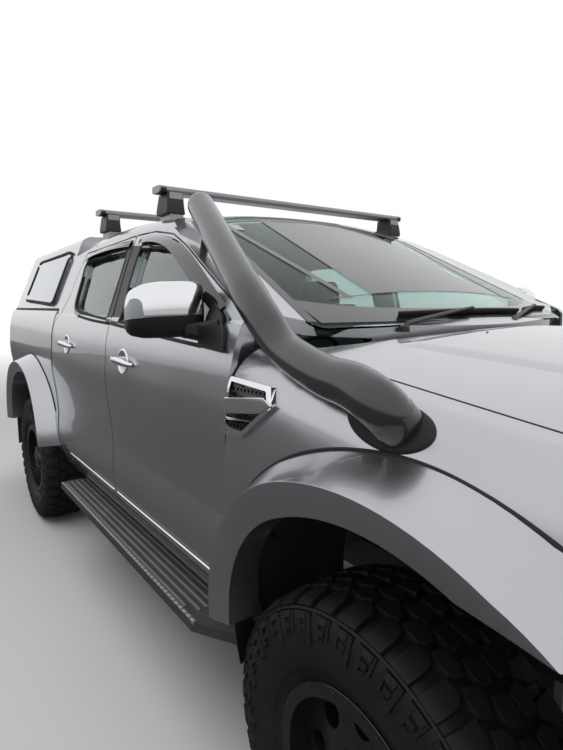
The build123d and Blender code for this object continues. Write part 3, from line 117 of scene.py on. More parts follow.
def sky():
    """A pale studio all round: plain white to the lens, softly graded in reflections."""
    world = bpy.data.worlds.new("studio")
    world.use_nodes = True
    bpy.context.scene.world = world
    tree = world.node_tree
    tree.nodes.clear()
    rays = node(tree, "ShaderNodeLightPath").outputs
    split = node(tree, "ShaderNodeSeparateXYZ", {0: node(tree, "ShaderNodeTexCoord").outputs["Generated"]})
    ramp = node(tree, "ShaderNodeValToRGB", {0: split.outputs["Z"]})
    rows = [(0.0, 0.50), (0.03, 0.74), (0.10, 0.90), (0.45, 0.93), (1.0, 0.92)]  # height, brightness
    stops = ramp.color_ramp.elements
    while len(stops) < len(rows):
        stops.new(0.5)
    for stop, (at, v) in zip(stops, rows):
        stop.position = at
        stop.color = (v, v * 1.005, v * 1.02, 1)
    light, shine, seen = (node(tree, "ShaderNodeBackground", {"Color": colour, "Strength": strength}).outputs[0]
                          for colour, strength in (((0.97, 0.985, 1.0, 1), 0.42), (ramp.outputs["Color"], 1.0),
                                                   ((1, 1, 1, 1), 1.0)))
    direct = node(tree, "ShaderNodeMath", {0: rays["Is Camera Ray"], 1: rays["Is Transmission Ray"]},
                  operation="MAXIMUM")
    first = node(tree, "ShaderNodeMixShader", {0: rays["Is Glossy Ray"], 1: light, 2: shine})
    second = node(tree, "ShaderNodeMixShader", {0: direct.outputs[0], 1: first.outputs[0], 2: seen})
    node(tree, "ShaderNodeOutputWorld", {"Surface": second.outputs[0]})


def floor():
    """A plain pale floor that fades into the backdrop, darker where polished panels mirror it."""
    bpy.ops.mesh.primitive_plane_add(size=60, location=(0, 0, FLOOR_LOW))
    slab = bpy.context.object
    slab.name = "floor"
    mat = bpy.data.materials.new("floor_paint")
    mat.use_nodes = True
    tree = mat.node_tree
    rays = node(tree, "ShaderNodeLightPath").outputs
    mix = node(tree, "ShaderNodeMix", {"A": (0.74, 0.745, 0.75, 1), "B": (0.10, 0.102, 0.105, 1),
                                       "Factor": rays["Is Glossy Ray"]}, data_type="RGBA")
    shader = feed(tree, tree.nodes["Principled BSDF"], {"Base Color": mix.outputs["Result"], "Roughness": 0.85})
    reach = node(tree, "ShaderNodeVectorMath", {0: node(tree, "ShaderNodeTexCoord").outputs["Object"]},
                 operation="LENGTH")
    fade = node(tree, "ShaderNodeMapRange", {"From Min": 5.0, "From Max": 16.0, "Value": reach.outputs["Value"]})
    far = node(tree, "ShaderNodeMath", {0: fade.outputs[0], 1: rays["Is Camera Ray"]}, operation="MULTIPLY")
    glow = node(tree, "ShaderNodeEmission")
    blend = node(tree, "ShaderNodeMixShader", {0: far.outputs[0], 1: shader.outputs[0], 2: glow.outputs[0]})
    feed(tree, tree.nodes["Material Output"], {"Surface": blend.outputs[0]})
    slab.data.materials.append(mat)


# Materials


def finish(name, colour, rough, metallic=0.0, coat=0.0, coat_rough=0.03, tone=0.05, scale=6.0, swing=0.05,
           bump=0.0, bump_scale=300.0, dust=0.0, clear=0.0, ior=1.5, sheen=0.0, cells=False, spec=0.5):
    """A procedural finish: tone and roughness drift over the surface, with a fine relief and settled dust."""
    mat = bpy.data.materials.new(name)
    mat.use_nodes = True
    tree = mat.node_tree
    where = node(tree, "ShaderNodeTexCoord").outputs["Object"]
    drift = node(tree, "ShaderNodeTexNoise", {"Scale": scale, "Detail": 5, "Vector": where}).outputs["Fac"]
    ramp = node(tree, "ShaderNodeValToRGB", {0: drift})
    for stop, at, gain in zip(ramp.color_ramp.elements, (0.3, 0.7), (1 - tone, 1 + tone)):
        stop.position = at
        stop.color = tuple(min(1.0, c * gain) for c in colour) + (1,)
    base = ramp.outputs["Color"]
    if dust:
        height = node(tree, "ShaderNodeSeparateXYZ", {0: where}).outputs["Z"]
        fall = node(tree, "ShaderNodeMapRange", {"From Min": 1.0, "From Max": 0.15, "To Min": 0.0, "To Max": dust,
                                                 "Value": height})
        patch = node(tree, "ShaderNodeMath", {0: fall.outputs[0], 1: drift}, operation="MULTIPLY")
        base = node(tree, "ShaderNodeMix", {"A": base, "B": (0.16, 0.15, 0.135, 1), "Factor": patch.outputs[0]},
                    data_type="RGBA").outputs["Result"]
    span = node(tree, "ShaderNodeMapRange", {"To Min": max(0.0, rough - swing), "To Max": min(1.0, rough + swing),
                                             "Value": drift})
    wires = {"Base Color": base, "Roughness": span.outputs[0], "Metallic": metallic, "IOR": ior,
             "Specular IOR Level": spec, "Coat Weight": coat, "Coat Roughness": coat_rough,
             "Transmission Weight": clear, "Sheen Weight": sheen}
    if bump:
        kind, out = ("Voronoi", "Distance") if cells else ("Noise", "Fac")
        grain = node(tree, f"ShaderNodeTex{kind}", {"Scale": bump_scale, "Vector": where}).outputs[out]
        relief = node(tree, "ShaderNodeBump", {"Strength": bump, "Distance": 0.001, "Height": grain})
        wires["Normal"] = relief.outputs[0]
    feed(tree, tree.nodes["Principled BSDF"], wires)
    mat.diffuse_color = tuple(colour) + (1,)
    return mat


MATERIALS = {
    "body_paint": finish("silver_paint", (0.52, 0.53, 0.545), 0.26, metallic=0.93, coat=1.0, tone=0.03, scale=3,
                         swing=0.03, bump=0.012, bump_scale=1400, cells=True, dust=0.10),
    "chassis_black": finish("chassis_paint", (0.025, 0.025, 0.027), 0.48, bump=0.25, bump_scale=160, dust=1.1),
    "cast_iron": finish("cast_iron", (0.11, 0.105, 0.10), 0.62, metallic=0.6, bump=0.5, bump_scale=220, dust=0.9),
    "damper_steel": finish("damper_steel", (0.34, 0.34, 0.35), 0.38, metallic=0.9, bump=0.15, bump_scale=260,
                           dust=0.8),
    "tank_plastic": finish("black_plastic", (0.022, 0.022, 0.024), 0.62, bump=0.45, bump_scale=900, tone=0.15,
                           dust=0.5),
    "tyre_rubber": finish("tyre_rubber", (0.006, 0.006, 0.007), 0.60, bump=0.35, bump_scale=420, tone=0.25,
                          scale=14, swing=0.1, dust=0.10, spec=0.35),
    "rim_black": finish("rim_black", (0.006, 0.006, 0.007), 0.28, coat=0.4, coat_rough=0.1, bump=0.06, dust=0.12),
    "window_glass": finish("clear_glass", (0.50, 0.63, 0.60), 0.0, clear=1.0, ior=1.14, tone=0.01, swing=0.0),
    "dark_glass": finish("tinted_glass", (0.34, 0.365, 0.385), 0.02, metallic=0.6, coat=1.0, coat_rough=0.0,
                         swing=0.01),
    "seat_cloth": finish("seat_cloth", (0.045, 0.045, 0.05), 0.9, bump=0.8, bump_scale=900, sheen=0.4, cells=True),
    "cabin_plastic": finish("cabin_plastic", (0.035, 0.036, 0.04), 0.55, bump=0.4, bump_scale=1100, tone=0.1),
    "chrome": finish("chrome", (0.86, 0.87, 0.88), 0.05, metallic=1.0, tone=0.02, swing=0.02, scale=9),
    "lamp_clear": finish("lamp_lens", (0.93, 0.94, 0.95), 0.02, clear=1.0, ior=1.2, tone=0.01, swing=0.01),
    "lamp_red": finish("lamp_red", (0.42, 0.012, 0.014), 0.08, coat=1.0, tone=0.1, scale=20, swing=0.03,
                       cells=True, bump=0.3, bump_scale=160),
    "snorkel_black": finish("snorkel_black", (0.022, 0.024, 0.027), 0.26, coat=0.7, coat_rough=0.07, bump=0.05,
                            bump_scale=700, tone=0.06, swing=0.04),
    "bar_aluminium": finish("bar_aluminium", (0.30, 0.31, 0.32), 0.33, metallic=0.92, bump=0.12, bump_scale=600),
    "bumper_steel": finish("bumper_black", (0.035, 0.036, 0.038), 0.42, bump=0.3, bump_scale=500, dust=0.4),
}
DOOR_GLASS = finish("door_glass", (0.62, 0.72, 0.70), 0.0, clear=1.0, ior=1.75, tone=0.01, swing=0.0)
EXTRAS = {  # look: (slot, finish)
    "satin": ("cabin_plastic", finish("satin_black", (0.010, 0.010, 0.011), 0.42, bump=0.2, bump_scale=900,
                                      tone=0.1)),
    "gloss": ("tank_plastic", finish("gloss_black", (0.010, 0.010, 0.011), 0.10, coat=0.6, tone=0.1, bump=0.02)),
    "rubber": ("tank_plastic", finish("seal_rubber", (0.015, 0.015, 0.016), 0.75, bump=0.3, bump_scale=500,
                                      tone=0.15)),
    "smoke": ("dark_glass", finish("smoke_acrylic", (0.016, 0.017, 0.019), 0.12, coat=0.7)),
    "repeater": ("lamp_clear", finish("repeater_lens", (0.34, 0.355, 0.37), 0.08, coat=1.0, cells=True, bump=0.6,
                                      bump_scale=260, tone=0.1)),
    "sticker": ("lamp_clear", finish("bare_sticker", (0.30, 0.40, 0.40), 0.3, coat=0.5, tone=0.02)),
    "step_rib": ("bar_aluminium", finish("step_rib", (0.22, 0.22, 0.23), 0.45, metallic=0.5, bump=0.4, tone=0.1)),
    "lens_white": ("lamp_clear", finish("lens_white", (0.78, 0.79, 0.80), 0.10, coat=1.0, cells=True, bump=0.5,
                                        bump_scale=220, tone=0.08)),
    "mirror": ("chrome", finish("mirror_glass", (0.75, 0.78, 0.80), 0.01, metallic=1.0, tone=0.01, swing=0.01)),
    "frit": ("dark_glass", finish("glass_frit", (0.012, 0.013, 0.014), 0.25, coat=0.8, tone=0.1)),
    "step_edge": ("bar_aluminium", finish("step_edge", (0.42, 0.43, 0.44), 0.42, metallic=0.7, bump=0.4,
                                          tone=0.1)),
    "plate": ("lamp_clear", finish("blank_plate", (0.80, 0.80, 0.78), 0.35, coat=0.4, bump=0.1, tone=0.02)),
}


# Objects


def smooth_group():
    """A node group that welds seams and keeps only true edges sharp."""
    group = bpy.data.node_groups.new("weld_and_smooth", "GeometryNodeTree")
    for way in ("INPUT", "OUTPUT"):
        group.interface.new_socket("Geometry", in_out=way, socket_type="NodeSocketGeometry")
    last = node(group, "GeometryNodeMergeByDistance", {"Geometry": node(group, "NodeGroupInput").outputs[0],
                                                       "Distance": WELD_GAP})
    angle = node(group, "GeometryNodeInputMeshEdgeAngle")
    bent = node(group, "FunctionNodeCompare", {"A": angle.outputs[0], "B": math.radians(SHARP_ANGLE)},
                operation="GREATER_THAN")
    for domain, wires in (("FACE", {}), ("EDGE", {}), ("EDGE", {"Selection": bent.outputs[0],
                                                                "Shade Smooth": False})):
        last = node(group, "GeometryNodeSetShadeSmooth", {"Geometry": last.outputs[0], **wires}, domain=domain)
    node(group, "NodeGroupOutput", {0: last.outputs[0]})
    return group


def soften(obj, width, segments=2):
    """Rounded edges."""
    mod = obj.modifiers.new("edges", "BEVEL")
    mod.width = width
    mod.segments = segments
    mod.limit_method = "ANGLE"
    mod.angle_limit = math.radians(BEVEL_ANGLE)
    mod.harden_normals = True
    mod.use_clamp_overlap = True


def piece(name, part, body, look, bevel=0.0, sharp=32, segments=2):
    """A new mesh, from points and faces, that rides on a body."""
    mesh = bpy.data.meshes.new(name)
    mesh.from_pydata([tuple(v) for v in part[0]], [], part[1])
    shape = bmesh.new()
    shape.from_mesh(mesh)
    bmesh.ops.recalc_face_normals(shape, faces=shape.faces)
    shape.to_mesh(mesh)
    shape.free()
    mesh.shade_smooth()
    mesh.set_sharp_from_angle(angle=math.radians(sharp))
    obj = bpy.data.objects.new(name, mesh)
    bpy.context.scene.collection.objects.link(obj)
    own_slot, material = EXTRAS[look] if look in EXTRAS else (look, MATERIALS[look])
    mesh.materials.append(material)
    if bevel:
        soften(obj, bevel, segments)
    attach(obj, body)
    return obj


def dress_solids():
    """Every solid gets its finish, welded seams and softened edges."""
    weld = smooth_group()
    widths = {"cab_shell": 0.0025, "canopy": 0.004, "tub": 0.003, "bonnet": 0.003, "front_guards": 0.0022,
              "tailgate": 0.004, "flares": 0.014, "front_bumper": 0.005, "rear_bumper": 0.005, "side_steps": 0.003,
              "dashboard": 0.008, "roof_bars": 0.003, "snorkel": 0.0025, "chassis_frame": 0.004,
              "fuel_tank": 0.012, "tow_bar": 0.002}
    for name, obj in NODES.items():
        slot = obj.data.materials[0].name.split(".")[0]
        if slot in MATERIALS:
            obj.data.materials[0] = DOOR_GLASS if "door_glass" in name else MATERIALS[slot]
        obj.modifiers.new("weld", "NODES").node_group = weld
        thin = 0.002 if "door" in name or "mirror" in name else 0.0015
        soften(obj, widths.get(name, thin), 4 if name == "flares" else 2)


# Numbers and lines


def spread(a, b, n):
    """Numbers from a to b in even steps."""
    return [a + (b - a) * k / (n - 1) for k in range(n)]


def circle(n):
    """Angles once round."""
    return [2 * math.pi * k / n for k in range(n)]


def squared(c, power):
    """A cosine or sine that draws a rounded square instead of a circle."""
    return abs(c) ** power * (1 if c > 0 else -1)


def eased(t):
    """A soft step from 0 to 1."""
    t = max(0.0, min(1.0, t))
    return t * t * (3 - 2 * t)


def runs(line):
    """The distance along a line at each of its points."""
    run = [0.0]
    for a, b in zip(line, line[1:]):
        run.append(run[-1] + (b - a).length)
    return run


def even(line, count):
    """The same line with evenly spaced points."""
    run, out, k = runs(line), [], 0
    for i in range(count):
        s = run[-1] * i / (count - 1)
        while k < len(run) - 2 and run[k + 1] < s:
            k += 1
        out.append(line[k].lerp(line[k + 1], min(1.0, (s - run[k]) / max(run[k + 1] - run[k], 1e-9))))
    return out


def smooth_line(points, count):
    """A Catmull-Rom line through the points, resampled to an even count."""
    pts = [Vector(p) for p in points]
    ext = [pts[0] * 2 - pts[1]] + pts + [pts[-1] * 2 - pts[-2]]
    dense = []
    for i in range(1, len(ext) - 2):
        p0, p1, p2, p3 = ext[i - 1:i + 3]
        for k in range(12):
            t = k / 12
            dense.append(0.5 * ((2 * p1) + (p2 - p0) * t + (2 * p0 - 5 * p1 + 4 * p2 - p3) * t * t
                                + (3 * p1 - p0 - 3 * p2 + p3) * t ** 3))
    return even(dense + pts[-1:], count)


def flat_line(pairs, count):
    """The same through pairs, in a plane."""
    return smooth_line([(u, v, 0) for u, v in pairs], count)


# Profiles


def ring(radius, sides, high=1.0, wide=1.0):
    """A round or oval profile."""
    return [(radius * wide * math.cos(a), radius * high * math.sin(a)) for a in circle(sides)]


def flat_bar(width, thick, low=0.0):
    """A flat profile."""
    w = width / 2
    return [(-w, low), (w, low), (w, low + thick), (-w, low + thick)]


def ridge(foot, top, low, high):
    """A profile with sloping sides."""
    return [(-foot, low), (-top, high), (top, high), (foot, low)]


# Shapes, each as (points, faces)


def grid(nu, nv, wrap_u=False, wrap_v=False):
    """Quads over nu by nv points."""
    faces = []
    for i in range(nu if wrap_u else nu - 1):
        for j in range(nv if wrap_v else nv - 1):
            a, b = i * nv + j, ((i + 1) % nu) * nv + j
            c, d = ((i + 1) % nu) * nv + (j + 1) % nv, i * nv + (j + 1) % nv
            faces.append((a, b, c, d))
    return faces


def plate(top, low, n, m):
    """A closed plate between two grids of n by m points."""
    k = n * m
    faces = grid(n, m) + [tuple(i + k for i in f[::-1]) for f in grid(n, m)]
    rim = [i * m for i in range(n)] + [(n - 1) * m + j for j in range(1, m)]
    rim += [i * m + m - 1 for i in range(n - 2, -1, -1)] + [j for j in range(m - 2, 0, -1)]
    return top + low, faces + [(a, b, b + k, a + k) for a, b in zip(rim, rim[1:] + rim[:1])]


def sheet(rows, thick, normals):
    """A closed plate under a grid of points, with one outward direction or one for each."""
    n, m = len(rows), len(rows[0])
    ds = normals if isinstance(normals, list) else [[normals] * m] * n
    low = [p - d * thick for row, way in zip(rows, ds) for p, d in zip(row, way)]
    return plate([p for row in rows for p in row], low, n, m)


def prism(low, top):
    """A closed prism between two outlines."""
    k = len(low)
    sides = [(i, (i + 1) % k, (i + 1) % k + k, i + k) for i in range(k)]
    return low + top, [tuple(range(k)), tuple(range(k, 2 * k))[::-1]] + sides


def sweep(path, profile, ups, caps=True):
    """Carries a closed profile of (across, out) offsets along a path whose outward direction is given."""
    verts, n = [], len(path)
    for i, p in enumerate(path):
        t = (path[min(n - 1, i + 1)] - path[max(0, i - 1)]).normalized()
        across = t.cross(ups[i] if isinstance(ups, list) else ups).normalized()
        out = across.cross(t).normalized()
        rows = profile(i / (n - 1)) if callable(profile) else profile
        verts += [p + across * u + out * v for u, v in rows]
    m = len(verts) // n
    ends = [tuple(range(m))[::-1], tuple(range((n - 1) * m, n * m))] if caps else []
    return verts, grid(n, m, wrap_v=True) + ends


def block(x0, x1, y0, y1, z0, z1):
    """A box."""
    verts = [Vector((x, y, z)) for x in (x0, x1) for y in (y0, y1) for z in (z0, z1)]
    return verts, [(0, 1, 3, 2), (4, 6, 7, 5), (0, 4, 5, 1), (2, 3, 7, 6), (0, 2, 6, 4), (1, 5, 7, 3)]


def turned(rows, segments, at=(0, 0, 0), axis="y"):
    """(along, radius) rows turned round an axis through a point."""
    verts = []
    for a in circle(segments):
        for w, r in rows:
            p = {"y": (r * math.sin(a), w, r * math.cos(a)), "x": (w, r * math.cos(a), r * math.sin(a)),
                 "z": (r * math.cos(a), r * math.sin(a), w)}[axis]
            verts.append(Vector(at) + Vector(p))
    return verts, grid(segments, len(rows), wrap_u=True, wrap_v=True)


def joined(parts):
    """Several shapes as one."""
    verts, faces = [], []
    for v, f in parts:
        k = len(verts)
        verts += list(v)
        faces += [tuple(i + k for i in face) for face in f]
    return verts, faces


def moved(part, matrix):
    """A shape under a matrix."""
    return [matrix @ Vector(v) for v in part[0]], part[1]


def standing(at, normal):
    """The matrix that stands a shape, made along +Z, on a surface."""
    return Matrix.Translation(Vector(at)) @ Vector(normal).to_track_quat("Z", "Y").to_matrix().to_4x4()


def hex_bolt(at, normal, radius, height):
    """A six-sided head standing on a surface."""
    verts = [Vector((radius * s * math.cos(a), radius * s * math.sin(a), h))
             for s, h in ((1, 0), (1, height * 0.8), (0.8, height)) for a in circle(6)]
    return moved((verts, grid(3, 6, wrap_v=True) + [tuple(range(12, 18))]), standing(at, normal))


# Places on the solids: each gives a point and its outward direction


def tree_of(*names):
    """A search tree over some solids."""
    verts, faces = [], []
    for name in names:
        mesh, k = NODES[name].data, len(verts)
        verts += [v.co.copy() for v in mesh.vertices]
        faces += [tuple(i + k for i in p.vertices) for p in mesh.polygons]
    return BVHTree.FromPolygons(verts, faces)


SKIN = {s: tree_of(f"front_door_{s}", f"rear_door_{s}", "cab_shell", "front_guards", "tub", "canopy",
                   f"front_door_glass_{s}", f"rear_door_glass_{s}", f"canopy_window_{s}") for s, _ in SIDES}
GLASS, BONNET, ROOF = tree_of("cab_glass"), tree_of("bonnet"), tree_of("cab_shell")


def on_skin(side, x, z, lift=0.0):
    """The body's outside at (x, z) on a side."""
    name, sign = side
    hit, normal, _, _ = SKIN[name].ray_cast(Vector((x, 1.6 * sign, z)), Vector((0, -sign, 0)))
    if hit is None:
        hit, normal = Vector((x, 0.9 * sign, z)), Vector((0, sign, 0))
    if normal.y * sign < 0:
        normal = -normal
    return hit + normal * lift, normal


def on_guard(side, x, z, lift=0.0):
    """The guard's side, carried level over the shut line behind it."""
    at, n = on_skin(side, max(x, GUARD_EDGE_X), z, lift)
    at.x = x
    return at, n


def side_height_table():
    """(height, distance out) of the upper body side, read at the front door's frame."""
    rows = []
    for k in range(21):
        z = 1.40 + 0.02 * k
        hit, _, _, _ = SKIN["left"].ray_cast(Vector((0.238, 1.6, z)), -ACROSS)
        if hit is not None and hit.y > 0.70:
            rows.append((z, hit.y))
    return rows


SIDE_ROWS = side_height_table()


def upper_side(sign, x, z, lift=0.0):
    """The plane of the window frames, carried over the openings."""
    k = 0
    while k < len(SIDE_ROWS) - 2 and SIDE_ROWS[k + 1][0] < z:
        k += 1
    (z0, y0), (z1, y1) = SIDE_ROWS[k:k + 2]
    y = y0 + (y1 - y0) * (z - z0) / (z1 - z0)
    n = Vector((0, z1 - z0, y0 - y1)).normalized()
    return Vector((x, sign * (y + n.y * lift), z + n.z * lift)), Vector((0, sign * n.y, n.z))


def facing(tree, way, y, z, lift=0.0, far=3.2, near=2.6):
    """A node's front, way 1, or rear, way -1."""
    hit, normal, _, _ = tree.ray_cast(Vector((way * far, y, z)), Vector((-way, 0, 0)))
    if hit is None:
        hit, normal, _, _ = tree.find_nearest(Vector((way * near, y, z)))
    if normal.x * way < 0:
        normal = -normal
    return hit + normal * lift, normal


on_screen = partial(facing, GLASS, 1, far=2.6, near=1.4)


def strip(surface, places, profile, caps=True):
    """A profile swept along places of a surface."""
    made = [surface(*at) for at in places]
    return sweep([p for p, _ in made], profile, [n for _, n in made], caps)


def sheet_on(surface, rows, thick):
    """A thin plate over a grid of places of a surface."""
    made = [[surface(*at) for at in row] for row in rows]
    return sheet([[p for p, _ in row] for row in made], thick, [[n for _, n in row] for row in made])


# Wheels


LINE = flat_line([(0, 0.4225), (0.045, 0.4222), (0.085, 0.420), (0.112, 0.416), (0.130, 0.409), (0.1425, 0.397),
                  (0.150, 0.378), (0.1548, 0.350), (0.1555, 0.320), (0.152, 0.290), (0.144, 0.266),
                  (0.134, 0.250), (0.129, 0.238)], 90)  # the tyre's outside, (across, radius)
LINE_RUN = runs(LINE)


def line_at(s):
    """Point and outward direction of the tyre's outside at a run from the centre."""
    k = 0
    while k < len(LINE) - 2 and LINE_RUN[k + 1] < s:
        k += 1
    t = (s - LINE_RUN[k]) / (LINE_RUN[k + 1] - LINE_RUN[k])
    d = (LINE[k + 1] - LINE[k]).normalized()
    return LINE[k].lerp(LINE[k + 1], t), Vector((-d.y, d.x, 0))


def tyre_point(s, turn, height, flip):
    """Tread coordinates to wheel coordinates."""
    p, n = line_at(abs(s))
    w, r = p.x + n.x * height, p.y + n.y * height
    w = w if s >= 0 else -w
    return Vector((r * math.sin(turn), w * flip, r * math.cos(turn)))


def lug(rows, height, centre, flip, draft=0.0025):
    """A tread block from (run, start, end) rows laid on the tyre's outside."""
    verts, n = [], len(rows)
    for grow, h in ((draft, -0.002), (0, height)):
        for i, (s, a0, a1) in enumerate(rows):
            end = grow if i == n - 1 else (-grow if i == 0 else 0)
            verts += [tyre_point(s + end, centre + a / TREAD_R, h, flip) for a in (a0 - grow, a1 + grow)]
    k = 2 * n
    faces = [(k + 2 * i, k + 2 * i + 1, k + 2 * i + 3, k + 2 * i + 2) for i in range(n - 1)]
    faces += [(2 * i, 2 * i + 2, k + 2 * i + 2, k + 2 * i) for i in range(n - 1)]
    faces += [(2 * i + 1, k + 2 * i + 1, k + 2 * i + 3, 2 * i + 3) for i in range(n - 1)]
    return verts, faces + [(0, k, k + 1, 1), (2 * n - 2, 2 * n - 1, k + 2 * n - 1, k + 2 * n - 2)]


# Blocks as (run across, start, end) rows
SHOULDER_LUG = [(0.076, -0.012, 0.022), (0.088, -0.026, 0.0235), (0.112, -0.029, 0.022), (0.128, -0.028, 0.025),
                (0.1385, -0.027, 0.026)]
MIDDLE_LUG = [(0.030, -0.012, 0.020), (0.040, -0.031, 0.027), (0.058, -0.029, 0.031), (0.069, -0.018, 0.012)]
CENTRE_LUG = [(-0.022, -0.014, 0.012), (-0.012, -0.030, 0.028), (0.012, -0.028, 0.030), (0.022, -0.012, 0.014)]
BEAD_NOTCH = [(0.302, -0.0035, 0.0035), (0.316, -0.0035, 0.0035)]
# Side lugs: run from, to on odd and on even pitches, start, end, height
SIDE_LUGS = [(0.149, 0.200, 0.214, -0.028, -0.012, 0.0074), (0.149, 0.164, 0.164, -0.012, 0.018, 0.0078),
             (0.175, 0.188, 0.188, -0.012, 0.010, 0.0064), (0.197, 0.200, 0.206, -0.012, 0.004, 0.0050)]
SHOULDER_RIB = ((0.139, -0.002), (0.139, 0.006), (0.1465, 0.006), (0.1465, -0.002))  # run, height
BEAD_RIB = ((0.1365, 0.262), (0.1405, 0.2655), (0.1465, 0.2655), (0.1425, 0.262))  # across, radius
PITCHES, NOTCHES, TYRE_SIDES = 36, 72, 144


def tyre_mesh():
    """A mud-terrain tyre: carcass, shoulder rib, blocks, side lugs and bead notches."""
    inside = [(0.126, 0.2184), (0.108, 0.2184), (0.128, 0.300), (0.132, 0.380), (0.100, 0.394)]
    half = [(p.x, p.y) for p in LINE[::3]] + inside
    parts = [turned(half + [(-w, r) for w, r in reversed(half) if w > 1e-6], TYRE_SIDES)]
    shoulder = [(line_at(s)[0].x + h * 0.8, line_at(s)[0].y + h * 0.6) for s, h in SHOULDER_RIB]
    for sign in (1, -1):
        parts += [turned([(sign * w, r) for w, r in rows], TYRE_SIDES) for rows in (shoulder, BEAD_RIB)]
    pitch = 2 * math.pi / PITCHES
    for i in range(PITCHES):
        a = -1 if i % 2 else 1
        for flip in (1, -1):
            c = pitch * (i + (0.5 if flip < 0 else 0))
            parts.append(lug(SHOULDER_LUG, 0.0135, c, flip))
            parts.append(lug(MIDDLE_LUG, 0.0132, c + pitch * 0.5, flip))
            for s0, odd, tall, a0, a1, h in SIDE_LUGS:
                lo, hi = sorted((a0 * a, a1 * a))
                rows = [(s0, lo, hi), (odd if i % 2 else tall, lo * 0.94, hi * 0.94)]
                parts.append(lug(rows, h, c, flip, 0.0018))
            parts.append(lug([(0.149, 0.0215 * a - 0.004, 0.0215 * a + 0.005),
                              (0.192, 0.020 * a - 0.004, 0.020 * a + 0.004)], 0.0058, c, flip, 0.0015))
        parts.append(lug(CENTRE_LUG, 0.0125, pitch * i + pitch * 0.02, 1))
    parts += [lug(BEAD_NOTCH, 0.002, turn, flip, 0.0005) for turn in circle(NOTCHES) for flip in (1, -1)]
    return joined(parts)


def bolt_circle(count, radius, y, size, height, shift=0.0):
    """Bolt heads in a circle on the wheel's face."""
    turns = [2 * math.pi * (i + shift) / count for i in range(count)]
    return [hex_bolt((radius * math.sin(a), y, radius * math.cos(a)), ACROSS, size, height) for a in turns]


def wheels():
    """Tyres stand for their solids; rims gain a bolted ring, nuts and a cap."""
    ring_rows = [(0.1335, 0.2195), (0.1375, 0.222), (0.1375, 0.2345), (0.1335, 0.2375), (0.126, 0.236),
                 (0.126, 0.2195)]
    cap = [(0.120, 0.0005), (0.130, 0.0005), (0.131, 0.030), (0.127, 0.044), (0.110, 0.049), (0.100, 0.052),
           (0.098, 0.0005)]
    tyre = tyre_mesh()
    trim = joined([turned(ring_rows, 120)] + bolt_circle(32, 0.228, 0.137, 0.0052, 0.004))
    hub = joined(bolt_circle(6, 0.0695, 0.098, 0.0125, 0.026, 0.5) + [turned(cap, 48)])
    for name, sign in SIDES:
        for end, x in (("front", FRONT_AXLE_X), ("rear", REAR_AXLE_X)):
            body = f"{end}_wheel_{name}"
            turn = Matrix.Rotation(0 if sign > 0 else math.pi, 4, "Z")
            place = Matrix.Translation((x, WHEEL_Y * sign, AXLE_Z)) @ turn
            tread = piece(f"{end}_tread_{name}", moved(tyre, place), body, "tyre_rubber", bevel=0.0012, sharp=35,
                          segments=1)
            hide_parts(f"{end}_tyre_{name}")
            piece(f"{end}_rim_ring_{name}", moved(trim, place), body, "rim_black", bevel=0.0008)
            piece(f"{end}_hub_{name}", moved(hub, place), body, "rim_black", bevel=0.0008)


# Door mirrors, in their own coordinates: x forward, y outward, z up, about the housing's centre


# From the outer end: station, y, half height, front reach, centre height
MIRROR_ROWS = [(0.00, 0.1060, 0.028, 0.014, -0.022), (0.04, 0.1030, 0.046, 0.032, -0.016),
               (0.12, 0.094, 0.064, 0.045, -0.010), (0.30, 0.060, 0.079, 0.053, -0.004),
               (0.55, 0.006, 0.085, 0.057, 0.001), (0.84, -0.078, 0.085, 0.056, 0.003),
               (0.95, -0.110, 0.081, 0.051, 0.004), (1.0, -0.122, 0.070, 0.042, 0.006)]
MIRROR_STATIONS = [0, 0.02, 0.05, 0.09, 0.14, 0.22, 0.32, 0.46, 0.60, 0.74, 0.86, 0.93, 0.97, 1.0]
MIRROR_SPLIT = -9  # the angle where the cap meets the lower shell
MIRROR_ARM = [(-0.060, -0.086, -0.034, -0.034, 0.040), (-0.092, -0.086, -0.036, -0.022, 0.050),
              (-0.116, -0.086, -0.036, 0.010, 0.080), (-0.140, -0.092, -0.026, 0.052, 0.122)]  # y, z0, z1, x0, x1
MIRROR_SAIL = [(1.226, 1.368), (1.070, 1.376), (1.076, 1.430), (1.082, 1.502), (1.104, 1.506), (1.160, 1.474),
               (1.212, 1.424)]


def mirror_point(u, phi, grow=0.0):
    """The housing's front surface at a station and an angle from the bottom, -90, to the top, 90."""
    a, b = next((a, b) for a, b in zip(MIRROR_ROWS, MIRROR_ROWS[1:]) if u <= b[0])
    t = (u - a[0]) / (b[0] - a[0])
    y, half, reach, lift = (p + (q - p) * t for p, q in zip(a[1:], b[1:]))
    c, s = math.cos(math.radians(phi)), math.sin(math.radians(phi))
    n = 2 / 2.7
    x = -0.010 + (reach + grow) * abs(c) ** n
    z = lift + (half + grow) * abs(s) ** n * (1 if s >= 0 else -1)
    return Vector((x, y + (grow if u < 0.03 else 0), z))


def mirror_shell(us, phis, thick, grow=0.0):
    """A curved plate over part of the housing."""
    spans = [phis(u) if callable(phis) else phis for u in us]
    outer, inner = ([mirror_point(u, p, g) for u, span in zip(us, spans) for p in span]
                    for g in (grow, grow - thick))
    return plate(outer, inner, len(us), len(spans[0]))


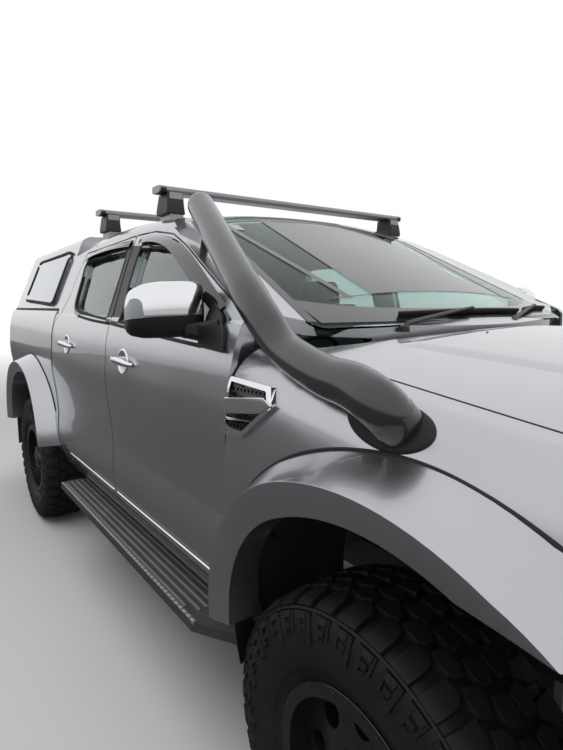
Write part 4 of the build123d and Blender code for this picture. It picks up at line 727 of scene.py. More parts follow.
def mirrors():
    """Bright cap, clear repeater, black lower shell, arm, sail and glass on each side."""
    us, split = MIRROR_STATIONS, MIRROR_SPLIT
    back = [mirror_point(u, 90) for u in us] + [mirror_point(u, -90) for u in reversed(us)]
    mid = sum(back, Vector()) / len(back)

    def outline(scale, x):
        return [Vector((x, mid.y + (p.y - mid.y) * scale, mid.z + (p.z - mid.z) * scale)) for p in back]

    pane = outline(0.905, -0.037)
    lip = [p for row in ((1.0, -0.004), (1.0, -0.042), (0.93, -0.045), (0.90, -0.036)) for p in outline(*row)]
    arm = [Vector(p) for y, z0, z1, x0, x1 in MIRROR_ARM for p in
           ((x0, y, z0 + 0.008), (x0 + 0.01, y, z0), (x1 - 0.012, y, z0), (x1, y, z0 + 0.014), (x1, y, z1 - 0.008),
            (x1 - 0.01, y, z1), (x0 + 0.01, y, z1), (x0, y, z1 - 0.008))]
    parts = {
        "cap": ("chrome", 0.001, mirror_shell(us[:-1], spread(90, split + 1.5, 15), 0.006, 0.0012)),
        "shell": ("satin", 0.0015, joined([
            mirror_shell(us, spread(split, -90, 12), 0.008),
            mirror_shell([0.965, 0.975, 0.99, 1.0], spread(90, split, 12), 0.008, 0.0015),
            (lip, grid(4, len(back), wrap_v=True))])),
        "pane": ("mirror", 0.0, prism(pane, [p + FORWARD * 0.004 for p in pane])),
        "repeater": ("repeater", 0.0012, mirror_shell(spread(0, 0.31, 15), lambda u: spread(
            split + 3 + 40 * (1.0001 - (u / 0.31) ** 3) ** 0.5, split + 2.2, 6), 0.004, 0.0030)),
        "arm": ("satin", 0.003, (arm, grid(4, 8, wrap_v=True) + [tuple(range(8))[::-1], tuple(range(24, 32))])),
    }
    for name, sign in SIDES:
        body = f"front_door_{name}"
        at = Matrix.Translation((MIRROR_AT[0], MIRROR_AT[1] * sign, MIRROR_AT[2]))
        turn = Matrix.Rotation(math.radians(MIRROR_TURN * sign), 4, "Z")
        place = at @ turn @ Matrix.Diagonal((1, sign, 1, 1))
        made = {part: piece(f"mirror_{part}_{name}", moved(mesh, place), body, look, bevel=bevel)
                for part, (look, bevel, mesh) in parts.items()}
        low, top = ([upper_side(sign, x, z, h)[0] for x, z in MIRROR_SAIL] for h in (0.002, 0.014))
        piece(f"mirror_sail_{name}", prism(low, top), body, "satin", bevel=0.003)
        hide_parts(f"mirror_{name}")


# Trim on the doors


def handles():
    """A dished cup with a bright pull across it on every door, and a lock on the front ones."""
    cup = [(0.0, 0.0006), (0.020, 0.0008), (0.036, 0.0016), (0.046, 0.0040), (0.051, 0.0044), (0.055, 0.0004)]
    lock = turned([(-0.002, 0.0005), (0.004, 0.0005), (0.004, 0.009), (0.002, 0.011), (-0.002, 0.011)], 24,
                  axis="z")
    for name, sign in SIDES:
        skin = partial(on_skin, (name, sign))
        for door, x0, x1, z in (("front", 0.300, 0.520, 1.276), ("rear", -0.585, -0.365, 1.296)):
            body = f"{door}_door_{name}"
            mid = (x0 + x1) / 2
            dish = [skin(mid + r * 1.12 * math.cos(a), z + r * math.sin(a), h)[0]
                    for a in circle(40) for r, h in cup]
            piece(f"{door}_handle_cup_{name}", (dish, grid(40, len(cup), wrap_u=True)), body, "chrome", sharp=60)
            places = []
            for t in spread(0, 1, 25):
                arch = math.sin(math.pi * t)
                reach = 0.030 * min(1.0, arch ** 0.42) if 0 < t < 1 else 0.0
                places.append((x0 + (x1 - x0) * t, z + 0.010 * arch - 0.004, reach + 0.001))
            bar = strip(skin, places, lambda t: [(c * (0.5 + 0.5 * math.sin(math.pi * t) ** 0.5), s)
                                                 for c, s in ring(0.0155, 16, 0.52)])
            piece(f"{door}_handle_{name}", bar, body, "chrome", sharp=60)
            if door == "front":
                place = standing(*skin(x0 - 0.040, z + 0.002))
                piece(f"{door}_lock_{name}", moved(lock, place), body, "chrome")


# Lines on the body's side as (x, z)
VISORS = {
    "front": ([(0.262, 1.797), (0.40, 1.792), (0.57, 1.768), (0.70, 1.730), (0.86, 1.658), (1.06, 1.552),
               (1.150, 1.500)],
              [(0.262, 1.762), (0.40, 1.757), (0.56, 1.731), (0.68, 1.692), (0.83, 1.620), (1.00, 1.530),
               (1.118, 1.470)]),
    "rear": ([(0.150, 1.797), (0.02, 1.799), (-0.20, 1.797), (-0.40, 1.788), (-0.555, 1.770)],
             [(0.150, 1.762), (0.02, 1.763), (-0.20, 1.760), (-0.40, 1.752), (-0.535, 1.735)]),
}
FRAMES = {
    "front": [(1.176, 1.446), (1.166, 1.458), (0.96, 1.556), (0.745, 1.664), (0.59, 1.718), (0.44, 1.737),
              (0.286, 1.750)],
    "rear": [(0.124, 1.752), (-0.20, 1.750), (-0.470, 1.742), (-0.492, 1.73), (-0.492, 1.63), (-0.486, 1.52),
             (-0.44, 1.484), (-0.34, 1.464)],
}
SEALS = {
    "front": [(0.290, 1.436), (0.700, 1.416), (1.160, 1.397), (1.178, 1.404), (1.166, 1.452), (0.96, 1.556),
              (0.745, 1.664), (0.590, 1.718), (0.44, 1.737), (0.292, 1.748)],
    "rear": [(0.116, 1.444), (-0.10, 1.454), (-0.330, 1.470), (-0.44, 1.487), (-0.482, 1.520), (-0.486, 1.63),
             (-0.480, 1.738), (-0.20, 1.748), (0.116, 1.750)],
}
PILLARS = {
    "front": [(0.194, 1.428), (0.280, 1.424), (0.280, 1.760), (0.194, 1.768)],
    "rear": [(0.126, 1.434), (0.176, 1.430), (0.176, 1.768), (0.126, 1.766)],
}
BELTS = {
    "front": [(0.205, 1.432), (0.70, 1.404), (1.070, 1.386)],
    "rear": [(0.170, 1.432), (-0.10, 1.442), (-0.34, 1.458)],
}
BELT_PROFILE = [(-0.007, -0.001), (-0.006, 0.004), (0.004, 0.006), (0.007, -0.001)]
SILL_PROFILE = [(-0.008, -0.001), (-0.006, 0.004), (0, 0.0055), (0.006, 0.004), (0.008, -0.001)]
SILLS, SILL_Z = {"front": (0.200, 1.130), "rear": (-0.600, 0.168)}, 0.654


def window_trim():
    """Smoked visors, rubber seals, dark bands (painted shadow under the visors, partly the real dark frames) and
    pillar covers, belt and sill strips on the four doors.
    """
    visor = ((0, 0.003), (0.15, 0.011), (0.4, 0.018), (0.7, 0.023), (1.0, 0.026))  # share of the height, lift
    band = ((-0.001, 0.0008), (0.004, 0.0022), (0.020, 0.0022), (0.023, 0.0008))  # reach, lift
    for name, sign in SIDES:
        upper, skin = partial(upper_side, sign), partial(on_skin, (name, sign))
        for door in VISORS:
            body = f"{door}_door_{name}"
            rows = []
            for i, (p, q) in enumerate(zip(*(flat_line(line, 22) for line in VISORS[door]))):
                full = 0.35 + 0.65 * math.sin(math.pi * i / 21) ** 0.5
                rows.append([(*p.lerp(q, t).xy, 0.003 + (lift - 0.003) * full) for t, lift in visor])
            piece(f"{door}_visor_{name}", sheet_on(upper, rows, 0.0025), body, "smoke", bevel=0.0008, sharp=50)
            places = [(p.x, p.y, -0.012) for p in flat_line(SEALS[door] + SEALS[door][:1], 120)]
            seal = strip(upper, places, flat_bar(0.013, 0.015), caps=False)
            piece(f"{door}_window_seal_{name}", seal, body, "rubber", sharp=40)
            # Dark band round the window's top and front: painted shadow under the visor, partly the real dark
            # frame.
            line, rows = flat_line(FRAMES[door], 60), []
            for k, p in enumerate(line):
                d = (line[min(k + 1, 59)] - line[max(k - 1, 0)]).normalized()
                rows.append([(p.x + d.y * reach, p.y - d.x * reach, lift) for reach, lift in band])
            piece(f"{door}_window_shadow_band_{name}", sheet_on(upper, rows, 0.0016), body, "gloss")
            a, b, c, d = (Vector(corner) for corner in PILLARS[door])
            rows = [[(*a.lerp(b, j / 3).lerp(d.lerp(c, j / 3), i / 8), 0.0022) for j in range(4)]
                    for i in range(9)]
            piece(f"{door}_pillar_cover_{name}", sheet_on(upper, rows, 0.002), body, "satin", bevel=0.0008)
            places = [(p.x, p.y - 0.006) for p in flat_line(BELTS[door], 24)]
            piece(f"{door}_belt_strip_{name}", strip(skin, places, BELT_PROFILE), body, "rubber", sharp=50)
            places = [(x, SILL_Z) for x in spread(*SILLS[door], 30)]
            piece(f"{door}_sill_strip_{name}", strip(skin, places, SILL_PROFILE), body, "chrome", sharp=60)


# Inside of the doors: x, the panel's low and top edges
CARDS = {
    "front": [(0.245, 0.700, 1.372), (0.420, 0.690, 1.368), (0.850, 0.690, 1.352), (1.040, 0.695, 1.345),
              (1.112, 0.720, 1.330)],
    "rear": [(-0.690, 0.800, 1.372), (-0.600, 0.715, 1.380), (-0.400, 0.690, 1.382), (-0.050, 0.690, 1.380),
             (0.112, 0.700, 1.374)],
}
CARD_Y = 0.7895


def door_cards():
    """Trim panels, armrests, pulls and pockets on the inside of the doors."""
    for name, sign in SIDES:
        inward = Vector((0, -sign, 0))

        def line(points, count):
            return smooth_line([(x, sign * y, z) for x, y, z in points], count)

        for door, span in CARDS.items():
            body = f"{door}_door_{name}"
            rows = []
            low, top = flat_line([row[:2] for row in span], 26), flat_line([row[::2] for row in span], 26)
            for k, (a, b) in enumerate(zip(low, top)):
                edge, row = min(1.0, min(k, 25 - k) / 2), []
                for t in spread(0, 1, 17):
                    p = a.lerp(b, t)
                    swell = (0.004 + 0.006 * edge * min(1.0, min(t, 1 - t) / 0.08)
                             + 0.012 * edge * math.exp(-((t - 0.86) / 0.09) ** 2))
                    row.append(Vector((p.x, sign * (CARD_Y - swell), p.y)))
                rows.append(row)
            piece(f"{door}_card_{name}", sheet(rows, 0.003, inward), body, "cabin_plastic", bevel=0.001)
            x0, x1 = (0.340, 0.880) if door == "front" else (-0.560, -0.060)
            path = line([(x0, 0.775, 1.010), (x0 + 0.05, 0.764, 1.014), (x0 + 0.25, 0.762, 1.026),
                         (x1 - 0.10, 0.764, 1.050), (x1, 0.776, 1.075)], 30)
            rest = sweep(path, ring(0.019, 20, 1.35, 0.95), UP)
            piece(f"{door}_armrest_{name}", rest, body, "seat_cloth", sharp=70)
            path = line([(x0 + 0.02, 0.777, 0.800), (x0 + 0.10, 0.768, 0.802), (x1 - 0.10, 0.768, 0.802),
                         (x1 - 0.02, 0.777, 0.800)], 24)
            pocket = sweep(path, [(-0.006, -0.085), (0.006, -0.085), (0.008, 0.006), (-0.008, 0.006)], UP)
            piece(f"{door}_pocket_{name}", pocket, body, "satin", bevel=0.003)
            x = x1 - 0.030
            path = line([(x, 0.776, 1.180), (x - 0.01, 0.7655, 1.182), (x - 0.07, 0.7650, 1.184),
                         (x - 0.085, 0.776, 1.184)], 20)
            pull = sweep(path, ring(0.0075, 14, 0.6), inward)
            piece(f"{door}_inside_pull_{name}", pull, body, "chrome", sharp=70)


# Guard vents, as (x, z)


VENT_INSIDE = [(1.276, 1.302), (1.442, 1.292), (1.460, 1.252), (1.338, 1.160), (1.260, 1.156)]
VENT_BAR = [(1.258, 1.206), (1.260, 1.250), (1.436, 1.268), (1.474, 1.252), (1.430, 1.230)]
VENT_CELL = ((0.0084, 0.002), (0.0084, 0.0075), (0.0058, 0.0075), (0.0050, 0.002))  # radius, height
VENT_PITCH = 0.0165


def inside(shape, x, z):
    """Whether a point is in a polygon."""
    odd = False
    for (x0, z0), (x1, z1) in zip(shape, shape[1:] + shape[:1]):
        if (z0 > z) != (z1 > z) and x < x0 + (x1 - x0) * (z - z0) / (z1 - z0):
            odd = not odd
    return odd


def vents():
    """Dark honeycomb behind each bright vent frame, with a broad plain bar and a thin strip."""
    top_back, top_front, _, low_front, low_back = (Vector(p) for p in VENT_INSIDE)
    for name, sign in SIDES:
        guard = partial(on_guard, (name, sign))
        rows = []
        for i in range(13):
            b = top_front.lerp(low_front, i / 12)
            if i:
                b.x += 0.034 * math.sin(math.pi * i / 12)
            rows.append([(*top_back.lerp(low_back, i / 12).lerp(b, j / 12), 0.0025) for j in range(13)])
        parts = [sheet_on(guard, rows, 0.003)]
        for j in range(-1, 14):
            for i in range(-1, 18):
                cx, cz = 1.252 + VENT_PITCH * (i + 0.5 * (j % 2)), 1.148 + VENT_PITCH * 0.866 * j
                cell = [(cx + r * math.sin(a), cz + r * math.cos(a), h) for r, h in VENT_CELL for a in circle(6)]
                if all(inside(VENT_INSIDE, x, z) and not inside(VENT_BAR, x, z) for x, z, _ in cell[:6]):
                    parts.append(([guard(*at)[0] for at in cell], grid(4, 6, wrap_v=True)))
        piece(f"vent_mesh_{name}", joined(parts), "vehicle", "gloss")
        low, top = ([guard(x, z, h)[0] for x, z in VENT_BAR] for h in (0.004, 0.0185))
        piece(f"vent_bar_{name}", prism(low, top), "vehicle", "chrome", bevel=0.003, segments=3)
        places = [(1.258 + 0.150 * i / 11, 1.192 + 0.012 * i / 11, 0.008) for i in range(12)]
        thin = strip(guard, places, lambda t: [(u * (1 - 0.6 * t), v) for u, v in ring(0.0042, 10)])
        piece(f"vent_strip_{name}", thin, "vehicle", "chrome")


# Snorkel


SNORKEL_FOOT, SNORKEL_OUT = Vector((1.821, -0.873, 1.265)), Vector((0.08, -0.744, 0.668))
SNORKEL_CORNERS = [(0.675, -0.691, 1.875), (1.318, -0.880, 1.508), (1.450, -0.882, 1.394), (1.640, -0.905, 1.345),
                   (1.735, -0.906, 1.338)]
SNORKEL_CUTS = (0.13, 0.062, 0.08, 0.045, 0.05)  # how much of each corner is rounded off
SNORKEL_RADII = [(0, 0.0500), (0.48, 0.0500), (0.57, 0.0485), (0.68, 0.0455), (0.78, 0.0470), (0.88, 0.0505),
                 (1.0, 0.0505)]  # share of the length, radius
SNORKEL_UP, SNORKEL_SIDES, SNORKEL_STAYS = Vector((0, -0.4, 0.9)), 40, (13, 45)


def snorkel_section(t):
    """The pipe's section at a share of its length."""
    (t0, r0), (t1, r1) = next((a, b) for a, b in zip(SNORKEL_RADII, SNORKEL_RADII[1:]) if t <= b[0])
    k = (t - t0) / (t1 - t0)
    return ring(r0 + (r1 - r0) * k * k * (3 - 2 * k), SNORKEL_SIDES)


def snorkel():
    """A smooth rotomoulded pipe with a domed top, its oval gasket and two stays."""
    foot, n, m = SNORKEL_FOOT, SNORKEL_OUT, SNORKEL_SIDES
    corners = [Vector(p) for p in SNORKEL_CORNERS]
    corners += [foot + n * 0.064 + FORWARD * 0.006, foot - n * 0.050 + FORWARD * 0.004]
    line = [corners[0]]
    for a, b, c, cut in zip(corners, corners[1:], corners[2:], SNORKEL_CUTS):
        p = b + (a - b).normalized() * min(cut, (a - b).length * 0.49)
        q = b + (c - b).normalized() * min(cut, (c - b).length * 0.49)
        line += [p.lerp(b, t).lerp(b.lerp(q, t), t) for t in spread(0, 1, 17)]
    path = even(line + corners[-1:], 120)
    verts, faces = sweep(path, snorkel_section, SNORKEL_UP, caps=False)
    t = (path[1] - path[0]).normalized()
    across = t.cross(SNORKEL_UP).normalized()
    out = across.cross(t).normalized()
    first = len(verts)
    prior = list(range(m))
    for k in range(1, 10):
        a = math.pi / 2 * k / 10
        edge = ring(0.05 * math.cos(a), m)
        verts += [path[0] - t * (0.046 * math.sin(a)) + across * u + out * v for u, v in edge]
        row = list(range(first + (k - 1) * m, first + k * m))
        faces += [(prior[j], prior[(j + 1) % m], row[(j + 1) % m], row[j]) for j in range(m)]
        prior = row
    pipe = piece("snorkel_pipe", (verts, faces + [tuple(prior)]), "vehicle", "snorkel_black", sharp=50)
    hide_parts("snorkel")
    flat = Vector((1, 0, -0.1))
    x_dir = (flat - n * flat.dot(n)).normalized()
    y_dir = n.cross(x_dir)
    rows, gasket = [(0.40, 0.010), (0.70, 0.0095), (0.93, 0.0085), (1.0, 0.006), (1.02, 0.0006)], []
    for a in circle(64):
        for r, h in rows:
            p = foot - FORWARD * 0.020 + x_dir * (0.106 * r * math.cos(a)) + y_dir * (0.056 * r * math.sin(a))
            hit, _, _, _ = SKIN["right"].ray_cast(p + n * 0.2, -n)
            gasket.append((hit if hit is not None else p) + n * h)
    piece("snorkel_gasket", (gasket, grid(64, len(rows), wrap_u=True)), "vehicle", "rubber",
          sharp=50)
    for i in SNORKEL_STAYS:
        p = path[i]
        hit, _, _, _ = SKIN["right"].find_nearest(p)
        stay = (p - hit).normalized()
        bracket = [hit - stay * 0.002, hit + stay * 0.004, p - stay * 0.040]
        piece(f"snorkel_stay_{i}", sweep(bracket, flat_bar(0.030, 0.008, -0.004), FORWARD), "vehicle", "satin",
              bevel=0.0015)


# Screen, wipers and cabin


BLADE = [(-0.003, -0.009), (0.003, -0.009), (0.006, 0.002), (0.004, 0.008), (-0.004, 0.008), (-0.006, 0.002)]
# Wipers: pivot's y, then the blade's y and z from and to
WIPERS = ((-0.42, -0.385, 0.275, 1.462, 1.464), (0.14, 0.335, 0.640, 1.466, 1.470))


def screen_edge(sign, z):
    """How far out the screen reaches at a height, from its middle."""
    y = 0.500
    while y < 0.760 and GLASS.ray_cast(Vector((2.6, sign * (y + 0.002), z)), -FORWARD)[0] is not None:
        y += 0.002
    return y


def screen_trim():
    """A dark ceramic border, wipers, the inside mirror and a bare sticker."""
    steps = spread(0, 1, 25)
    low = [[(-0.665 + 1.33 * t, z + 0.016 * (2 * t - 1) ** 4 * k, 0.0011) for t in steps]
           for k, z in ((0, 1.449), (1, 1.470), (2, 1.486))]
    top = [[(-0.565 + 1.13 * t, z, 0.0011) for t in steps] for z in (1.868, 1.880)]
    border = [sheet_on(on_screen, rows, 0.001) for rows in (low, top)]
    for sign in (1, -1):
        columns = []
        for t in steps:
            z = 1.452 + 0.424 * t
            y = screen_edge(sign, z)
            a, n = on_screen(sign * (y - 0.002), z, 0.0012)
            b = on_screen(sign * (y - 0.024), z, 0.0012)[0]
            columns.append([(a + (a - b) * 0.22, n), (a, n), (b, n)])
        rows = list(zip(*columns))
        border.append(sheet([[p for p, _ in row] for row in rows], 0.001, [[n for _, n in row] for row in rows]))
    piece("screen_border", joined(border), "vehicle", "frit")
    arms, blades = [], []
    for pivot, y0, y1, z0, z1 in WIPERS:
        places = [(y0 + (y1 - y0) * t, z0 + (z1 - z0) * t + 0.004 * math.sin(math.pi * t), 0.010)
                  for t in spread(0, 1, 20)]
        blades.append(strip(on_screen, places, BLADE))
        mid, up = on_screen(*places[10])
        base = Vector((1.466 - 0.05 * abs(pivot), pivot, 1.426))
        arm = smooth_line([base, base + Vector((-0.006, 0.03, 0.016)),
                           base.lerp(mid, 0.55) + Vector((0.006, 0, 0.014)), mid + up * 0.010], 16)
        arms.append(sweep(arm, lambda t: flat_bar(0.018 - 0.009 * t, 0.007), up))
        arms.append(turned([(0.0, 0.004), (0.0, 0.017), (0.016, 0.015), (0.022, 0.008), (0.022, 0.004)], 20,
                           base - UP * 0.008, "z"))
    piece("wiper_arms", joined(arms), "vehicle", "satin", bevel=0.001)
    piece("wiper_blades", joined(blades), "vehicle", "rubber", bevel=0.0006)
    rows = [(-0.022, 0.55), (-0.018, 0.90), (-0.006, 1.0), (0.010, 0.97), (0.020, 0.78), (0.025, 0.35)]
    seg, m = 32, len(rows)
    head = [Vector((0.66 + x, 0.118 * r * squared(math.cos(a), 0.7),
                    1.752 + 0.034 * r * squared(math.sin(a), 0.8)))
            for a in circle(seg) for x, r in rows]
    ends = [tuple(i * m for i in range(seg))[::-1], tuple(i * m + m - 1 for i in range(seg))]
    line = [Vector(p) for p in ((0.672, 0, 1.760), (0.690, 0, 1.786), (0.700, 0, 1.796))]
    stem = sweep(line, ring(0.010, 12), ACROSS)
    piece("inside_mirror", joined([(head, grid(seg, m, wrap_u=True) + ends), stem]), "vehicle", "satin", sharp=50)
    rows = [[(y, z, 0.0008) for y in (-0.525, -0.50, -0.475)] for z in (1.806, 1.820, 1.834)]
    piece("screen_sticker", sheet_on(on_screen, rows, 0.0006), "vehicle", "sticker")


# Roof and steps


# The end cap's ring: (y, growth) and (across, height); the foot: (drop, half length, y from, y to)
CAP_ROWS = ((0.706, 0.0008), (0.728, 0.0010), (0.7355, -0.001), (0.7368, -0.004))
CAP_RING = ((-0.040, -0.022), (-0.034, -0.030), (0.034, -0.030), (0.040, -0.022), (0.040, -0.012),
            (0.028, -0.0022), (-0.028, -0.0022), (-0.040, -0.012))
FOOT_ROWS = ((0.0295, 0.046, 0.634, 0.706), (0.045, 0.050, 0.634, 0.708), (0.075, 0.056, 0.636, 0.712),
             (0.100, 0.058, 0.634, 0.716), (0.118, 0.058, 0.632, 0.716))


def roof_bar_trim():
    """Slot strips, end caps and covered feet."""
    for i, (x, top) in enumerate(BAR_TOPS):
        slot = block(x - 0.008, x + 0.008, -0.724, 0.724, top - 0.0036, top - 0.0004)
        piece(f"bar_strip_{i}", slot, "vehicle", "rubber", bevel=0.001)
        caps, feet = [], []
        for sign in (1, -1):
            rows = [Vector((x + u * (1 + g / 0.04), sign * y, top - 0.016 + (v + 0.016) * (1 + g / 0.015)))
                    for y, g in CAP_ROWS for u, v in CAP_RING]
            caps.append((rows, grid(4, 8, wrap_v=True) + [tuple(range(8)), tuple(range(24, 32))]))
            rows = [Vector((x + a * gx, sign * y, top - drop)) for drop, gx, y0, y1 in FOOT_ROWS
                    for a, y in ((-1, y0), (1, y0), (1, y1), (-1, y1))]
            feet.append((rows, grid(5, 4, wrap_v=True) + [(0, 1, 2, 3), (16, 17, 18, 19)]))
        piece(f"bar_caps_{i}", joined(caps), "vehicle", "satin", bevel=0.002)
        piece(f"bar_feet_{i}", joined(feet), "vehicle", "satin", bevel=0.006, segments=3)


def roof_lines():
    """Dark drip mouldings along both edges of the roof."""
    for name, sign in SIDES:
        path, ups = [], []
        for t in spread(0, 1, 44):
            hit, normal, _, _ = ROOF.ray_cast(Vector((0.300 - 1.060 * t, sign * 0.640, 2.3)), -UP)
            if hit is not None:
                path.append(hit)
                ups.append(normal if normal.z > 0 else -normal)
        drip = sweep(path, ridge(0.009, 0.007, -0.002, 0.0026), ups)
        piece(f"roof_moulding_{name}", drip, "vehicle", "rubber", sharp=60)


def step_trim():
    """Ribbed treads and a notched pale edge on both side steps."""
    for name, sign in SIDES:
        ribs, edge = [], []
        for k in range(6):
            y = sign * (STEP_RIB_Y + k * STEP_RIB_GAP)
            ends = [Vector((x, y, STEP_TOP)) for x in (-0.525, 1.050 if k < 5 else 1.000)]
            ribs.append(sweep(ends, ridge(0.0055, 0.004, -0.001, 0.0035), UP))
        x = -0.548
        while x < 1.075:
            edge.append(block(x, x + 0.024, sign * 0.973, sign * 0.9845, STEP_TOP - 0.0095, STEP_TOP + 0.0025))
            x += 0.030
        piece(f"step_ribs_{name}", joined(ribs), "vehicle", "step_rib", bevel=0.0008)
        piece(f"step_edge_{name}", joined(edge), "vehicle", "step_edge", bevel=0.0015)


# Flares, liners and flaps, as (x from the axle, z)


OPENING = [(-0.402, 0.600), (-0.355, 0.880), (-0.170, 1.032), (0.060, 1.083), (0.330, 1.030), (0.515, 0.880),
           (0.585, 0.600)]
# Axle, the flare's outer line and its crease
FLARE_LINES = (
    (FRONT_AXLE_X,
     [(-0.552, 0.600), (-0.505, 0.930), (-0.290, 1.140), (0.045, 1.222), (0.380, 1.150), (0.655, 0.960)],
     [(-0.470, 0.600), (-0.410, 0.925), (-0.200, 1.110), (0.060, 1.160), (0.360, 1.095), (0.590, 0.920)]),
    (REAR_AXLE_X,
     [(-0.620, 0.600), (-0.560, 0.920), (-0.310, 1.125), (0.000, 1.190), (0.300, 1.120), (0.525, 0.915),
      (0.598, 0.600)],
     [(-0.545, 0.600), (-0.490, 0.890), (-0.280, 1.075), (0.000, 1.128), (0.280, 1.075), (0.480, 0.890),
      (0.535, 0.600)]),
)
FLAP_REACH, FLAP_IN = 0.499, 0.735


def arch_trim():
    """Gaskets where the flares meet the body, liner bolts and a flap behind each tyre."""
    for name, sign in SIDES:
        skin, parts = partial(on_skin, (name, sign)), []
        for axle, outer, crease in FLARE_LINES:
            path, ups = [], []
            for p, q in zip(*(flat_line([(axle + x, z) for x, z in line], 90) for line in (outer, crease))):
                t = 0.3
                for _ in range(3):
                    at, n = skin(*p.lerp(q, t).xy)
                    t = min(0.9, max(0.0, (abs(at.y) - 0.880) / 0.150))
                if at.z > (1.062 if at.x > 2.0 else 0.655):
                    path.append(at + n * 0.001)
                    ups.append(n)
            parts.append(sweep(path, ring(0.0042, 8), ups))
        piece(f"flare_gasket_{name}", joined(parts), "vehicle", "rubber", sharp=60)
        bolts = []
        line = flat_line([(FRONT_AXLE_X + x, z) for x, z in OPENING], 60)
        for k in range(4, 56, 6):
            p = line[k]
            d = (line[k + 1] - p).normalized()
            away = Vector((-d.y, 0, d.x))
            away = away if away.z > 0 or k < 12 else -away
            if k > 44:
                away = Vector((abs(away.x), 0, away.z))
            bolts.append(hex_bolt(Vector((p.x, sign * 0.875, p.y)) + away * 0.0235, -away, 0.009, 0.005))
        piece(f"liner_bolts_{name}", joined(bolts), "vehicle", "satin")
        rows = []
        for t in spread(0, 1, 8):
            ys = [FLAP_IN + 0.235 * j / 8 - (0.028 * t * t if j == 8 else 0) for j in range(9)]
            rows.append([Vector((FRONT_AXLE_X - (FLAP_REACH ** 2 - (y - FLAP_IN) ** 2) ** 0.5, sign * y,
                                 0.690 - 0.215 * t)) for y in ys])
        piece(f"front_flap_{name}", sheet(rows, 0.006, FORWARD), "vehicle", "rubber", bevel=0.0015)
        rows = [[Vector((REAR_AXLE_X - 0.560 - 0.015 * t, sign * (0.690 + 0.270 * j / 6), 0.720 - 0.300 * t))
                 for j in range(7)] for t in spread(0, 1, 8)]
        piece(f"rear_flap_{name}", sheet(rows, 0.006, FORWARD), "vehicle", "rubber", bevel=0.0015)


# Canopy, tub and bonnet


CANOPY_WINDOW, CANOPY_MID = [(-1.050, 1.526), (-2.085, 1.560), (-1.985, 1.828), (-0.985, 1.828)], (-1.53, 1.685)
RAIL_Z = 1.4795


def canopy_trim():
    """Frames round the canopy's side windows and the joint strip over the tub's rail."""
    cx, cz = CANOPY_MID
    outline = [(a[0] + (b[0] - a[0]) * t, a[1] + (b[1] - a[1]) * t)
               for a, b in zip(CANOPY_WINDOW, CANOPY_WINDOW[1:] + CANOPY_WINDOW[:1])
               for t in (0.06, 0.25, 0.5, 0.75, 0.94)]
    line = [(cx + (p.x - cx) * 1.022, cz + (p.y - cz) * 1.07) for p in flat_line(outline + outline[:1], 140)]
    for name, sign in SIDES:
        skin = partial(on_skin, (name, sign))
        trim = strip(skin, line, [(-0.011, -0.001), (-0.009, 0.005), (0.006, 0.008), (0.011, -0.001)], caps=False)
        piece(f"canopy_frame_{name}", trim, "vehicle", "rubber", sharp=50)
        places = [(-0.862 - 1.62 * k / 39, RAIL_Z) for k in range(40)]
        rail = strip(skin, places, ridge(0.012, 0.010, -0.002, 0.006))
        piece(f"rail_strip_{name}", rail, "vehicle", "rubber", sharp=50)


BULGE_BACK, BULGE_LENGTH, BULGE_HALF, BULGE_RISE = 1.560, 0.860, 0.560, 0.0075


def bonnet_bulge():
    """The bonnet's raised middle panel, blended into the skin at its edges."""
    rows = []
    for t in spread(0, 1, 46):
        x = BULGE_BACK + BULGE_LENGTH * t
        half = BULGE_HALF - 0.120 * t - 0.02 * math.sin(math.pi * t)
        row = []
        for j in range(40):
            q = -1 + 2 * j / 39
            y = half * (q * (1.25 - 0.25 * q * q))
            x_here = x - 0.055 * (y / BULGE_HALF) ** 2
            hit, _, _, _ = BONNET.ray_cast(Vector((x_here, y, 2.2)), -UP)
            if hit is None:
                hit, _, _, _ = BONNET.find_nearest(Vector((x_here, y, 1.40)))
            edge, end = (half - abs(y)) / 0.045, min(t, 1 - t) / 0.06
            tuck = 0.0006 * (1 - min(1.0, 8 * max(0.0, min(1.0, edge, end))))
            row.append(hit + UP * (BULGE_RISE * eased(edge) * eased(end) - tuck))
        rows.append(row)
    piece("bonnet_bulge", sheet(rows, 0.0025, UP), "bonnet", "body_paint", sharp=60)


def fuel_flap():
    """The outline and finger dent of the fuel flap on the tub's left side."""
    skin = partial(on_skin, SIDES[0])
    outline = [(-1.020 + 0.078 * squared(math.cos(a), 0.45), 1.300 + 0.078 * squared(math.sin(a), 0.45), -0.0002)
               for a in circle(48)]
    seal = strip(skin, outline + outline[:1], ridge(0.0018, 0.0014, -0.001, 0.0009), caps=False)
    piece("fuel_flap_seal", seal, "vehicle", "rubber", sharp=60)
    rows = [[(-1.082 + 0.016 * i / 6, 1.275 + 0.050 * j / 6, 0.0016) for j in range(7)] for i in range(7)]
    piece("fuel_flap_pull", sheet_on(skin, rows, 0.0016), "vehicle", "body_paint", bevel=0.001)


# Front and rear details


def blank_plate(name, x, z0, z1, way):
    """A bare number plate."""
    rows = [[Vector((x, y, z)) for y in spread(-0.180, 0.180, 5)] for z in spread(z0, z1, 3)]
    piece(name, sheet(rows, 0.002, FORWARD * way), "vehicle", "plate", bevel=0.0008)


# Headlamp bowls and lenses as (share of the radius, depth)
BOWL = ((0.0, 0.000), (0.45, 0.001), (0.78, 0.010), (0.96, 0.024), (1, 0.030), (1.04, 0.028), (1.0, 0.014),
        (0.8, -0.002), (0.0, -0.006))
LENS = ((0.0, 0.026), (0.2, 0.0252), (0.38, 0.021), (0.47, 0.012), (0.47, 0.002))


